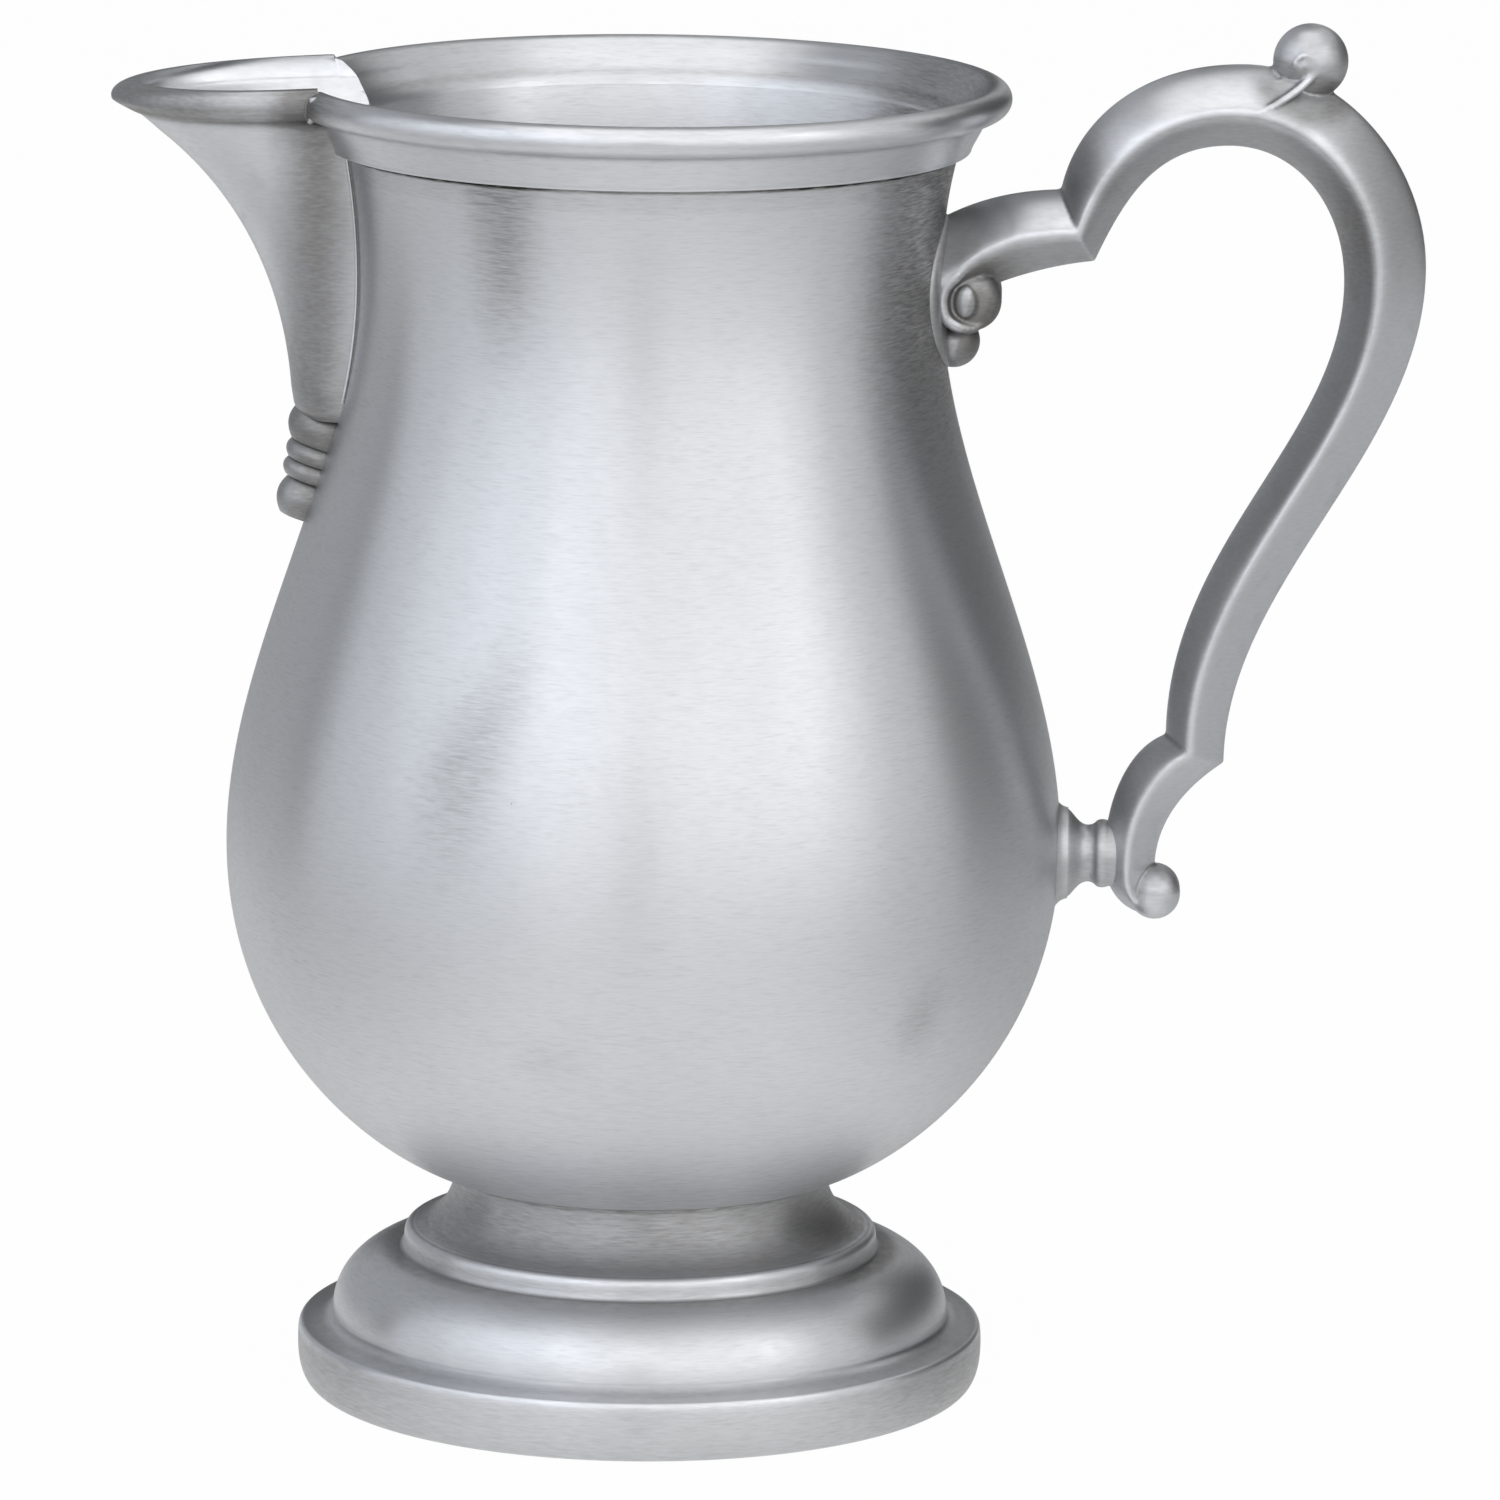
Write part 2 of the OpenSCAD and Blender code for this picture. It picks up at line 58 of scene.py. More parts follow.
def curve(points, steps):
    """Points along one cubic curve."""
    t = np.linspace(0, 1, steps + 1)[:, None]
    a, b, c, d = (np.array(p, float) for p in points)
    return (1 - t) ** 3 * a + 3 * t * (1 - t) ** 2 * b + 3 * t ** 2 * (1 - t) * c + t ** 3 * d


def joined(*lines):
    """Lines end to end, with each shared end kept once."""
    return np.vstack([lines[0]] + [line[1:] for line in lines[1:]])


def beside(line, gap):
    """A line moved to its left by a gap."""
    way = np.gradient(line, axis=0)
    way /= np.linalg.norm(way, axis=1)[:, None]
    return line + gap * np.stack([-way[:, 1], way[:, 0]], 1)


def turned(line, start, end, steps):
    """Rows of points round the axis, one row for each point of a line.
    Angles are measured from the spout."""
    share = np.linspace(0, 1, steps + 1)
    start = np.broadcast_to(start, len(line))
    end = np.broadcast_to(end, len(line))
    angle = np.outer(start, 1 - share) + np.outer(end, share)
    r = line[:, :1]
    height = np.repeat(line[:, 1:], steps + 1, axis=1)
    return np.stack([-r * np.cos(angle), r * np.sin(angle), height], 2)


def piece_of(name, sheets, crisp=38):
    """One mesh from sheets of points in millimetres, welded where they meet.
    Edges past an angle in degrees stay crisp."""
    shape = bmesh.new()
    for sheet in sheets:
        rows = [[shape.verts.new(Vector(p) * MM) for p in row] for row in sheet]
        for low, high in zip(rows, rows[1:]):
            for k in range(len(low) - 1):
                shape.faces.new((low[k], low[k + 1], high[k + 1], high[k]))
    bmesh.ops.remove_doubles(shape, verts=shape.verts, dist=0.001 * MM)
    bmesh.ops.recalc_face_normals(shape, faces=shape.faces)
    for face in shape.faces:
        face.smooth = True
    for edge in shape.edges:
        if len(edge.link_faces) == 2 and edge.calc_face_angle() > math.radians(crisp):
            edge.smooth = False
    mesh = bpy.data.meshes.new(name)
    shape.to_mesh(mesh)
    shape.free()
    piece = bpy.data.objects.new(name, mesh)
    bpy.context.scene.collection.objects.link(piece)
    return piece


def mark_bends(mesh):
    """Stores how sharply the skin bends at each point, in radians per millimetre.
    Edges are above zero and creases below."""
    count = len(mesh.vertices)
    points = np.empty(3 * count)
    normals = np.empty(3 * count)
    ends = np.empty(2 * len(mesh.edges), int)
    mesh.vertices.foreach_get("co", points)
    mesh.vertices.foreach_get("normal", normals)
    mesh.edges.foreach_get("vertices", ends)
    points = points.reshape(-1, 3) / MM
    normals = normals.reshape(-1, 3)
    a, b = ends.reshape(-1, 2).T
    step = points[b] - points[a]
    turn = ((normals[b] - normals[a]) * step).sum(1) / np.maximum((step ** 2).sum(1), 1e-6)
    total = np.bincount(a, turn, count) + np.bincount(b, turn, count)
    mean = total / np.maximum(np.bincount(ends, minlength=count), 1)
    mesh.attributes.new("bend", "FLOAT", "POINT").data.foreach_set("value", mean)


def fit(piece, node, finish):
    """Gives a piece its finish and puts it in the place of its solid."""
    mark_bends(piece.data)
    piece.data.materials.append(finish)
    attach(piece, "root")
    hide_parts(node)


seat_slope = math.radians(10)
seat_way = np.array([math.cos(seat_slope), math.sin(seat_slope)])
bottom_line = curve([bottom, bottom + [3.8, 0], seat - 7.6 * seat_way, seat], 16)
belly_line = curve([seat, seat + 4.6 * seat_way, belly - [0, 17.4], belly], 60)
shoulder_line = curve([belly, belly + [0, 15.2], neck - [0, 15.8], neck], 72)
mouth_line = curve([neck, neck + [0, 5], mouth - [1.9, 4.4], mouth], 28)
body_line = joined(bottom_line, belly_line, shoulder_line, mouth_line)
wall_line = joined(belly_line, shoulder_line, mouth_line)


def body_r(z):
    """Outside radius of the body at a height."""
    return np.interp(z, wall_line[:, 1], wall_line[:, 0])


rim_seat = 101.1
body_line = np.vstack([body_line[body_line[:, 1] < rim_seat], [[body_r(rim_seat), rim_seat]]])
sill_row = np.searchsorted(body_line[:, 1], sill)
body_line = np.insert(body_line, sill_row, [body_r(sill), sill], axis=0)
inner_line = beside(body_line, body_wall)
above = body_line[:, 1] > belly[1]
inner_wall = inner_line[inner_line[:, 1] > belly[1] - 5]
inner_line[above, 0] = np.interp(body_line[above, 1], inner_wall[:, 1], inner_wall[:, 0])
inner_line[above, 1] = body_line[above, 1]
inner_line[0, 0] = 0
spout_side = np.vstack([[4.1, spout_low], [4.78, 78.5],
                        curve([[5, 80], [5, 93], [4.6, 97.8], [10.3, 103.2]], 60), [10.3, lip_top]])


def spout_half(z):
    """Half width of the spout, outside, at a height."""
    return np.interp(z, spout_side[:, 1], spout_side[:, 0])


def eased(value, low, high):
    """Zero up to a low value, one from a high value on, and smooth between them."""
    s = np.clip((value - low) / (high - low), 0, 1)
    return s * s * (3 - 2 * s)


def wall_at(z):
    """Thickness of the spout's wall, which thins towards the lip."""
    return spout_wall - thinned_by * eased(z, thin_from, lip_top)


def notch_angle(line):
    """Half angle of the notch along a line of the wall. Below the sill it keeps the angle of the sill."""
    z = np.maximum(line[:, 1], sill)
    r = np.where(line[:, 1] > sill, line[:, 0], body_r(sill))
    return np.arcsin((spout_half(z) - wall_at(z)) / r)


turns = 288
front_turns = 10
outer_gap = notch_angle(body_line)
inner_gap = notch_angle(inner_line)
body_out = turned(body_line, outer_gap, 2 * math.pi - outer_gap, turns)
body_in = turned(inner_line, inner_gap, 2 * math.pi - inner_gap, turns)
below = sill_row + 1
front_out = turned(body_line[:below], -outer_gap[:below], outer_gap[:below], front_turns)
front_in = turned(inner_line[:below], -inner_gap[:below], inner_gap[:below], front_turns)
body = piece_of("body", [
    body_out, body_in, front_out, front_in, [body_out[-1], body_in[-1]], [front_out[-1], front_in[-1]],
    [body_out[sill_row:, 0], body_in[sill_row:, 0]], [body_out[sill_row:, -1], body_in[sill_row:, -1]]])


class Signal:
    """A value, colour or vector in a finish. Plain arithmetic on it adds Math nodes."""

    def __init__(self, tree, socket=None):
        self.tree = tree
        self.socket = socket

    def node(self, kind, settings=None, sockets=None, output=0):
        """Adds a node, sets it, fills or links its sockets, and gives one of its outputs."""
        new = self.tree.nodes.new("ShaderNode" + kind)
        for name, value in (settings or {}).items():
            setattr(new, name, value)
        for name, value in (sockets or {}).items():
            if isinstance(value, Signal):
                self.tree.links.new(value.socket, new.inputs[name])
            else:
                new.inputs[name].default_value = value
        return Signal(self.tree, new.outputs[output])

    def maths(self, operation, *values):
        """One Math node, with this value first."""
        return self.node("Math", {"operation": operation}, dict(enumerate((self, *values))))

    def __add__(self, other):
        return self.maths("ADD", other)

    __radd__ = __add__

    def __sub__(self, other):
        return self.maths("SUBTRACT", other)

    def __rsub__(self, other):
        return -1 * self + other

    def __mul__(self, other):
        return self.maths("MULTIPLY", other)

    __rmul__ = __mul__

    def __lt__(self, other):
        return self.maths("LESS_THAN", other)

    def __gt__(self, other):
        return self.maths("GREATER_THAN", other)

    def ramp(self, low, high):
        """Zero up to a low value, one from a high value on, and smooth between them."""
        return self.node("MapRange", {"interpolation_type": "SMOOTHSTEP"},
                         {"Value": self, "From Min": low, "From Max": high})

    def near(self, value, reach):
        """One at a value, and smoothly down to zero at a reach to either side of it."""
        return 1 - (self - value).maths("ABSOLUTE").ramp(0, reach)

    def blend(self, first, second):
        """A colour between two others, with this value as the share of the second."""
        return self.node("Mix", {"data_type": "RGBA"}, {0: self, 6: first, 7: second}, 2)


# Colours for tarnish and grime, which also show the painted shade that the functions of place put in the
# same film
tarnish_and_shade_colour = (0.25, 0.245, 0.24, 1)
grime_and_shade_colour = (0.04, 0.038, 0.036, 1)
pit_colour = (0.08, 0.08, 0.09, 1)
stroke_depth = 0.005 * MM
hair_depth = 0.002 * MM


def pewter(name, colour, rough, brushed, tarnish_and_shade, wear, streaky=0.15):
    """Pewter finished with fine abrasive: hairlines, soft clouds, painted shade in creases, worn edges, a
    few pits, and tarnishing with painted shade where a function of place puts them."""
    material = bpy.data.materials.new(name)
    material.use_nodes = True
    tree = material.node_tree
    shader = tree.nodes["Principled BSDF"]
    bare = Signal(tree)
    place = bare.node("TexCoord", output="Object")

    def noise(stretch, detail, turn=(0, 0, 0)):
        along = bare.node("Mapping", None, {"Vector": place, "Rotation": turn, "Scale": stretch})
        return bare.node("TexNoise", None, {"Vector": along, "Scale": 1, "Detail": detail}, "Fac")

    def bump(height, depth, **under):
        return bare.node("Bump", None, {"Strength": 1, "Distance": depth, "Height": height, **under})

    if brushed:
        hairs = noise((900, 900, 9000), 2)
        rising = noise((620, 620, 6500), 2, (0, 0.4, 0))
        falling = noise((560, 560, 6500), 2, (0, -0.3, 0))
        strokes = rising.maths("MAXIMUM", falling)
    else:
        hairs = noise((1200, 1200, 5000), 2)
        strokes = noise((420, 420, 420), 2)
    clouds = noise((45, 45, 45), 3)
    dents = noise((110, 110, 60), 1)
    bend = bare.node("Attribute", {"attribute_name": "bend"}, None, "Fac")
    cell = {"Vector": place, "Scale": 230, "Randomness": 1}
    pit_size = bare.node("TexVoronoi", None, cell, "Distance")
    pit_pick = bare.node("TexVoronoi", None, cell, "Color")
    pits = (pit_size < 0.022) * (pit_pick > 0.86)
    dent_depth = (0.05 if brushed else 0.02) * MM
    dull = tuple(0.5 * c for c in colour)
    light = tuple(min(1, 1.15 * c) for c in colour)
    cloudy = (0.5 * clouds.ramp(0.35, 0.75)).blend((*colour, 1), (*(0.93 * c for c in colour), 1))
    lined = (0.1 * hairs.ramp(0.35, 0.7) + 0.14 * strokes.ramp(0.52, 0.75)).blend(cloudy, (*dull, 1))
    # painted shade: where the skin bends inwards, its colour is darkened towards half
    dark = (0.7 * (0 - bend).ramp(0.1, 1.2)).blend(lined, (*dull, 1))
    worn = (wear * bend.ramp(0.4, 2)).blend(dark, (*light, 1))
    axes = [bare.node("SeparateXYZ", None, {0: place}, axis) for axis in "XYZ"]
    patchy = 0.7 + 0.3 * (clouds - 0.5) + 0.3 * (hairs - 0.5) + streaky * (strokes - 0.55)
    # the film holds tarnish and painted shade together, as the function of place gives them
    film = (tarnish_and_shade(*axes) * patchy - wear * bend.ramp(0.3, 1.5)).maths("MAXIMUM", 0)
    stained_and_shaded = film.blend(worn, tarnish_and_shade_colour)
    grimy_and_shaded = (film - 1).ramp(0, 1).blend(stained_and_shaded, grime_and_shade_colour)
    pitted = (0.5 * pits).blend(grimy_and_shaded, pit_colour)
    matt = 0.12 * film.maths("MINIMUM", 1)
    roughness = rough + 0.1 * (hairs - 0.5) + 0.08 * (strokes - 0.5) + 0.08 * (clouds - 0.5) + matt
    wavy = bump(dents, dent_depth)
    stroked = bump(strokes, stroke_depth, Normal=wavy)
    haired = bump(hairs, hair_depth, Normal=stroked)
    shader.inputs["Metallic"].default_value = 1
    if brushed:
        shader.inputs["Anisotropic"].default_value = 0.74
        shader.inputs["Anisotropic Rotation"].default_value = 0.25
    tree.links.new(pitted.socket, shader.inputs["Base Color"])
    tree.links.new(roughness.socket, shader.inputs["Roughness"])
    tree.links.new(haired.socket, shader.inputs["Normal"])
    return material


pewter_colour = (0.68, 0.69, 0.71)
band_z = 99.4
# Each dark mark has a strength, an angle from the front and its reach, and a height and its reach.
dark_marks = [(0.85, -0.46, 0.2, 95.5, 14), (0.12, -0.43, 0.07, 52.3, 0.8),
                (0.35, 0.78, 0.12, 35, 5), (0.15, -0.2, 0.14, 33, 3)]


def body_marks_and_shade(x, y, z):
    """Dark lines in the seams under the rim and over the foot, painted shade below the rim's band, a few
    dark marks on the front, painted shade on the neck round the handle's plate inside and out, and
    painted shade low on the belly."""
    turn = x.maths("ARCTAN2", -1 * y)
    outside = (x * x + y * y).maths("SQRT") > 23.8 * MM
    uneven = 1.1 + 1.4 * turn.maths("ABSOLUTE").ramp(0.15, 0.6)
    # painted shade: the colour is darkened over 4 mm below the rim's band, besides the dark line in the
    # seam
    seam_and_shade = outside * (uneven * z.near((band_z - 0.2) * MM, 0.28 * MM) + 0.2 * z.near(band_z * MM, 4 * MM))
    seat_seam = 1.6 * z.near(17.5 * MM, 0.5 * MM)
    leaning = turn - 10 * (z - 54.5 * MM).maths("MAXIMUM", 0)
    marks = 0.5 * leaning.near(-0.43, 0.17) * z.near(55.5 * MM, 13 * MM)
    for strength, angle, wide, height, tall in dark_marks:
        marks = marks + strength * turn.near(angle, wide) * z.near(height * MM, tall * MM)
    # painted shade: the handle's dark reflection and shade on the neck round the plate, outside and
    # inside
    from_handle = (turn - math.pi / 2).maths("ABSOLUTE")
    handle_shade = 1.1 * (1 - from_handle.ramp(0.45, 0.88)) * z.ramp(68 * MM, 90 * MM)
    # painted shade low on the belly, just above the foot
    under = 0.35 * (1 - z.ramp(19 * MM, 26 * MM))
    return seam_and_shade + seat_seam + marks + handle_shade + under


spun = pewter("spun_pewter", pewter_colour, 0.4, True, body_marks_and_shade, 0.6, 1.4)
fit(body, "body", spun)

# Rim moulding: a turned strip of pewter, with a slanting band under a round bead.
# It is bent round the edge of the mouth and soldered on, and it is cut at the front,
# where its ends butt against the two sides of the spout.
bead_r = 1.2
bead = np.array([27.15, 103.45])
band_r = body_r(band_z) + 0.95
band_top = np.array([26.5, 102.1])
rim_inside = 23.4
lip_half = 1.3
lip_proud = 0.6
lip_low = lip_top - 2 * lip_half
ear_reach = 27.75
ear_steps = 14


def arc(middle, r, start, end, steps):
    """Points on a circle, from one angle to another in degrees."""
    angle = np.radians(np.linspace(start, end, steps + 1))
    return np.array(middle) + r * np.stack([np.cos(angle), np.sin(angle)], 1)


def lip_bead(z):
    """How far the bead of the spout's lip stands out at a height."""
    return lip_proud * np.sqrt(np.maximum(0, 1 - ((z - lip_low) / lip_half - 1) ** 2))


def capped(rings):
    """The sheets of a solid swept through rings of points, closed at both ends."""
    rings = [np.vstack([ring, ring[:1]]) for ring in rings]
    ends = [np.repeat(ring[:-1].mean(0)[None], len(ring), 0) for ring in (rings[0], rings[-1])]
    return [rings, [rings[0], ends[0]], [rings[-1], ends[1]]]


rim_line = np.vstack([
    [[body_r(band_z) - 0.4, band_z]], arc([band_r - 0.15, band_z + 0.15], 0.15, -90, -10, 5),
    curve([[band_r, band_z + 0.2], [band_r + 0.3, 100.3], band_top - [0.4, 0.9], band_top], 10),
    arc(bead, bead_r, -102, 135, 40),
    curve([[26.3, 104.3], [26, 104], [25.55, 103.7], [25.2, 103.2]], 8)[1:],
    curve([[25.2, 103.2], [24.6, 102.6], [23.75, 102], [rim_inside, rim_seat]], 14)[1:],
    [[rim_inside + 0.8, rim_seat - 0.1]]])
rim_z = rim_line[:, 1]
past_crest = np.arange(len(rim_line)) > rim_z.argmax()
rim_half = spout_half(rim_z) + np.where(past_crest, -wall_at(rim_z), lip_bead(rim_z))
rim_end = np.arcsin(rim_half / rim_line[:, 0])
rim_sheet = turned(rim_line, rim_end, 2 * math.pi - rim_end, turns)


def tube(path, radius, sides=16):
    """The sheets of a round rod along a path."""
    path = np.array(path, float)
    radius = np.broadcast_to(radius, len(path))
    way = np.gradient(path, axis=0)
    way /= np.linalg.norm(way, axis=1)[:, None]
    across = np.cross(way[0], [0.3, 0.5, 0.8])
    angle = np.linspace(0, 2 * math.pi, sides + 1)[:-1, None]
    rings = []
    for point, along, r in zip(path, way, radius):
        across = across - along * (across @ along)
        across /= np.linalg.norm(across)
        rings.append(point + r * (np.cos(angle) * across + np.sin(angle) * np.cross(along, across)))
    return capped(rings)


ear_z = np.linspace(102.4, 104.3, ear_steps)
ear_y = spout_half(ear_z) + lip_bead(ear_z) + 0.3
ear_x = -np.sqrt(ear_reach ** 2 - ear_y ** 2)
ear_r = np.linspace(0.3, 0.55, ear_steps)
rim_sheets = capped(list(rim_sheet.transpose(1, 0, 2)))
for hand in (-1, 1):
    rim_sheets += tube(np.stack([ear_x, hand * ear_y, ear_z], 1), ear_r)
rim = piece_of("rim_moulding", rim_sheets, 50)


def rim_skin_and_shade(x, y, z):
    """Painted shade in the crease under the bead and inside by the handle, and a dull skin at the cut
    ends.
    """
    r = (x * x + y * y).maths("SQRT")
    cut_ends = 1.2 * (r > bead[0] * MM) * (1 - x.ramp(-25.8 * MM, -22.5 * MM))
    # painted shade on the inside of the rim, on the handle's side
    inside_shade = 0.8 * (r - 0.9 * z < -67.3 * MM) * x.ramp(15 * MM, 22 * MM)
    # the first term is painted shade in the crease under the bead
    return 0.35 * z.near(band_top[1] * MM, 0.5 * MM) + cut_ends + inside_shade


rim_finish = pewter("rim_pewter", pewter_colour, 0.36, True, rim_skin_and_shade, 0.6, 0.8)
fit(rim, "rim_moulding", rim_finish)

# Spout: a cast trough of pewter that flares to a beaded lip. It is laid over the notch,
# filed to the curve of the neck and soldered along both sides.
spout_tip = 42.2
lip_fall = 0.9
joint_low = 79.5
keel = np.vstack([[27.1, spout_low], [27.75, 78.5],
                  curve([[28, 80], [28.6, 88], [32, 97], [42, 103.4]], 60), [spout_tip, lip_top]])
levels = np.concatenate([np.linspace(spout_low, sill, 14), np.linspace(sill, lip_low, 46)[1:],
                         lip_low + lip_half * (1 - np.cos(np.linspace(0, math.pi, 25)))[1:]])
columns = 40


def nose(z, longer, wider, root):
    """Half a level section of the spout, from its root on the body to the keel, in even steps."""
    back = body_r(min(z, mouth[1])) - 1
    run = np.interp(z, keel[:, 1], keel[:, 0]) + longer - back
    half = spout_half(z) + wider
    line = curve([[back, half], [back + 0.62 * run, 1.08 * half], [back + 0.94 * run, 0.58 * half],
                  [back + run, 0]], 80)
    line = np.vstack([[[root, half]], line[line[:, 0] > root + 0.02]])
    length = np.concatenate([[0], np.cumsum(np.linalg.norm(np.diff(line, axis=0), axis=1))])
    even = np.linspace(0, length[-1], columns + 1)
    return np.stack([np.interp(even, length, line[:, 0]), np.interp(even, length, line[:, 1])], 1)


def fall(x, z):
    """How far the lip drops towards the tip."""
    forward = np.maximum(0, x - mouth[0]) / (spout_tip - mouth[0])
    return lip_fall * forward * (z - spout_low) / (lip_top - spout_low)


# The slope inside the rim, as heights and radii.
slope_z = [rim_seat, 101.36, 101.84, 102.26, 102.65, 103.2, 103.85, 104.3, 104.65]
slope_r = [rim_inside, 23.52, 23.83, 24.21, 24.61, 25.2, 25.82, 26.3, bead[0]]


def section(z, longer, wider, sink):
    """A whole level section of the spout, sunk by a given depth into the body or the rim's slope."""
    half = spout_half(z) + wider
    r = body_r(z) if z < slope_z[0] else np.interp(z, slope_z, slope_r)
    side = nose(z, longer, wider, math.sqrt(r * r - half * half) - sink)
    flat = np.vstack([side, (side * [1, -1])[::-1][1:]])
    return np.stack([-flat[:, 0], flat[:, 1], z - fall(flat[:, 0], z)], 1)


def tip_back(z):
    """How far the tip is drawn in, so that the bead swells out under it and rounds off over it."""
    return 0.36 * eased(z, 100.5, 103) + 0.8 * np.maximum(0, (z - 103.7) / 1.2) ** 2


def root_depth(z):
    """How deep the outside is rooted: in the wall low down, and short of the rim's surface at the top."""
    return np.interp(z, [rim_seat - 0.1, rim_seat], [0.4, -0.3])


inner_levels = levels[levels >= sill - 0.001]
spout_out = np.array([section(z, 0.8 * lip_bead(z) - tip_back(z), lip_bead(z), root_depth(z))
                      for z in levels])
spout_in = np.array([section(z, -1.6 * wall_at(z) - tip_back(z), -wall_at(z), 0)
                     for z in inner_levels])
edge_z = np.linspace(joint_low, band_z, 50)
edge_y = spout_half(edge_z) + 0.08
edge_x = -np.sqrt(body_r(edge_z) ** 2 - edge_y ** 2) - 0.1
filed_edges = []
for hand in (-1, 1):
    filed_edges += tube(np.stack([edge_x, hand * edge_y, edge_z], 1), 0.17)
spout_floor = spout_in[0].copy()
floor_y = np.linspace(spout_floor[0, 1], spout_floor[-1, 1], len(spout_floor))
spout_floor[:, 0] = -np.sqrt(body_r(sill) ** 2 - floor_y ** 2)
spout_floor[:, 1] = floor_y
spout_floor[:, 2] = sill
inside_rows = len(spout_in)
spout = piece_of("spout", [
    spout_out, spout_in, [spout_out[-1], spout_in[-1]], [spout_in[0], spout_floor],
    [spout_out[-inside_rows:, 0], spout_in[:, 0]], [spout_out[-inside_rows:, -1], spout_in[:, -1]],
    *filed_edges], 50)


def spout_darkening(x, y, z):
    """Darkening outside only: a painted dark reflection on the bead of the lip, stronger towards the tip,
    painted shade in the crease under it, and a darker zone beside the joints with the body."""
    facing = x.node("SeparateXYZ", None, {0: x.node("NewGeometry", output="Normal")}, "Y")
    outside = y * facing > 0
    # painted reflection: the bead is darkened where it would mirror something dark
    bead_shade = 0.8 + 0.35 * (1 - x.ramp(-36 * MM, -30 * MM))
    # painted shade in the crease under the bead
    crease = 0.5 * z.near(102 * MM, 0.6 * MM)
    root_dark = 1.25 * x.near(-25.5 * MM, 4.8 * MM)
    return outside * (root_dark + crease + bead_shade * z.ramp(101 * MM, 102.5 * MM))


spout_finish = pewter("spout_pewter", (0.69, 0.7, 0.72), 0.36, False, spout_darkening, 0.3)
fit(spout, "spout", spout_finish)

# Spout drop: a small pewter ornament of four round lobes, cast from a turned pattern.
# It is soldered to the neck under the spout and leans with the wall. The mesh is a full round
# on the line of the wall, so its back half reaches through to the inside of the neck.
drop_top = np.array([body_r(spout_low), spout_low + 0.3])
lobe_r = [3.4, 2.95, 2.78, 2.6]
lobe_high = [2.95, 1.5, 1.4, 3.05]
lobe_back = [0.6, 0.35, 0.35, 0.6]
lobe_top = np.cumsum(lobe_high) - lobe_high
drop_len = sum(lobe_high)
drop_lean = math.atan2(body_r(spout_low - drop_len) - drop_top[0], drop_len)


def lobe(r, height, top, back):
    """One rounded lobe of the drop, as radius and distance down from its top."""
    s = np.linspace(-1, 1, 17)
    return np.stack([r - back * s * s, top + height / 2 * (1 + s)], 1)


lobes = [lobe(*sizes) for sizes in zip(lobe_r, lobe_high, lobe_top, lobe_back)]
drop_line = np.vstack([[[0, 0]], *lobes, [[0, drop_len]]])
drop_sheet = turned(drop_line, 0, 2 * math.pi, 72)
lean = np.array([[math.cos(drop_lean), 0, math.sin(drop_lean)], [0, 1, 0],
                 [-math.sin(drop_lean), 0, math.cos(drop_lean)]])
drop_sheet = drop_sheet * [1, 1, -1] @ lean.T + [-drop_top[0], 0, drop_top[1]]
drop = piece_of("spout_drop", [drop_sheet], 45)


def cast_tarnish(x, y, z):
    """The dull skin of the casting, darker towards the joint with the body."""
    return 0.85 + 0.5 * x.ramp(-29 * MM, -26.5 * MM)


cast = pewter("cast_pewter", (0.64, 0.65, 0.67), 0.36, False, cast_tarnish, 0.3)
fit(drop, "spout_drop", cast)

# Spout solder: a fine fillet of solder that runs up each side of the spout, and fills the crack
# where the end of the rim moulding meets the bead of the lip.
solder_r = 0.22
crack_r = 0.14
solder_z = np.linspace(joint_low, band_z - 0.1, 60)
solder_y = spout_half(solder_z) + 0.36
solder_x = 0.06 - np.sqrt(body_r(solder_z) ** 2 - solder_y ** 2)
crack_z = np.linspace(102.45, 104.4, 20)
crack_y = spout_half(crack_z) + lip_bead(crack_z) + 0.03
crack_x = -np.sqrt((bead[0] + np.sqrt(bead_r ** 2 - (crack_z - bead[1]) ** 2)) ** 2 - crack_y ** 2)
solder_taper = np.interp(solder_z, [joint_low, 86], [0.5, 1])
solder_sheets = []
for hand in (-1, 1):
    solder_sheets += tube(np.stack([solder_x, hand * solder_y, solder_z], 1), solder_r * solder_taper)
    solder_sheets += tube(np.stack([crack_x, hand * crack_y, crack_z], 1), crack_r)
spout_solder = piece_of("spout_solder", solder_sheets)


def solder_tarnish(x, y, z):
    """Dark oxide and grime on the solder beside the spout, and a thin film elsewhere."""
    return 0.35 + 1.5 * (x < -15 * MM)


solder = pewter("solder", (0.6, 0.61, 0.62), 0.42, False, solder_tarnish, 0)
fit(spout_solder, "spout_solder", solder)

# Foot: a hollow pedestal, spun from one disc of pewter with a straight wall, a cove, a dome, a step
# and a hollow neck. It is brushed round on the lathe, stands on a flat ring, and carries the body.
foot_bore = 13.3
wall_top = [27.25, 4.3]
step_top = [18.8, 12.2]


def oval(middle, wide, high, start, end, steps):
    """Points on an upright oval, from one angle to another in degrees."""
    return np.array(middle) + (arc([0, 0], 1, start, end, steps) * [wide, high])


def bottom_z(r):
    """Height of the underside of the body at a radius."""
    return np.interp(r, bottom_line[:, 0], bottom_line[:, 1])


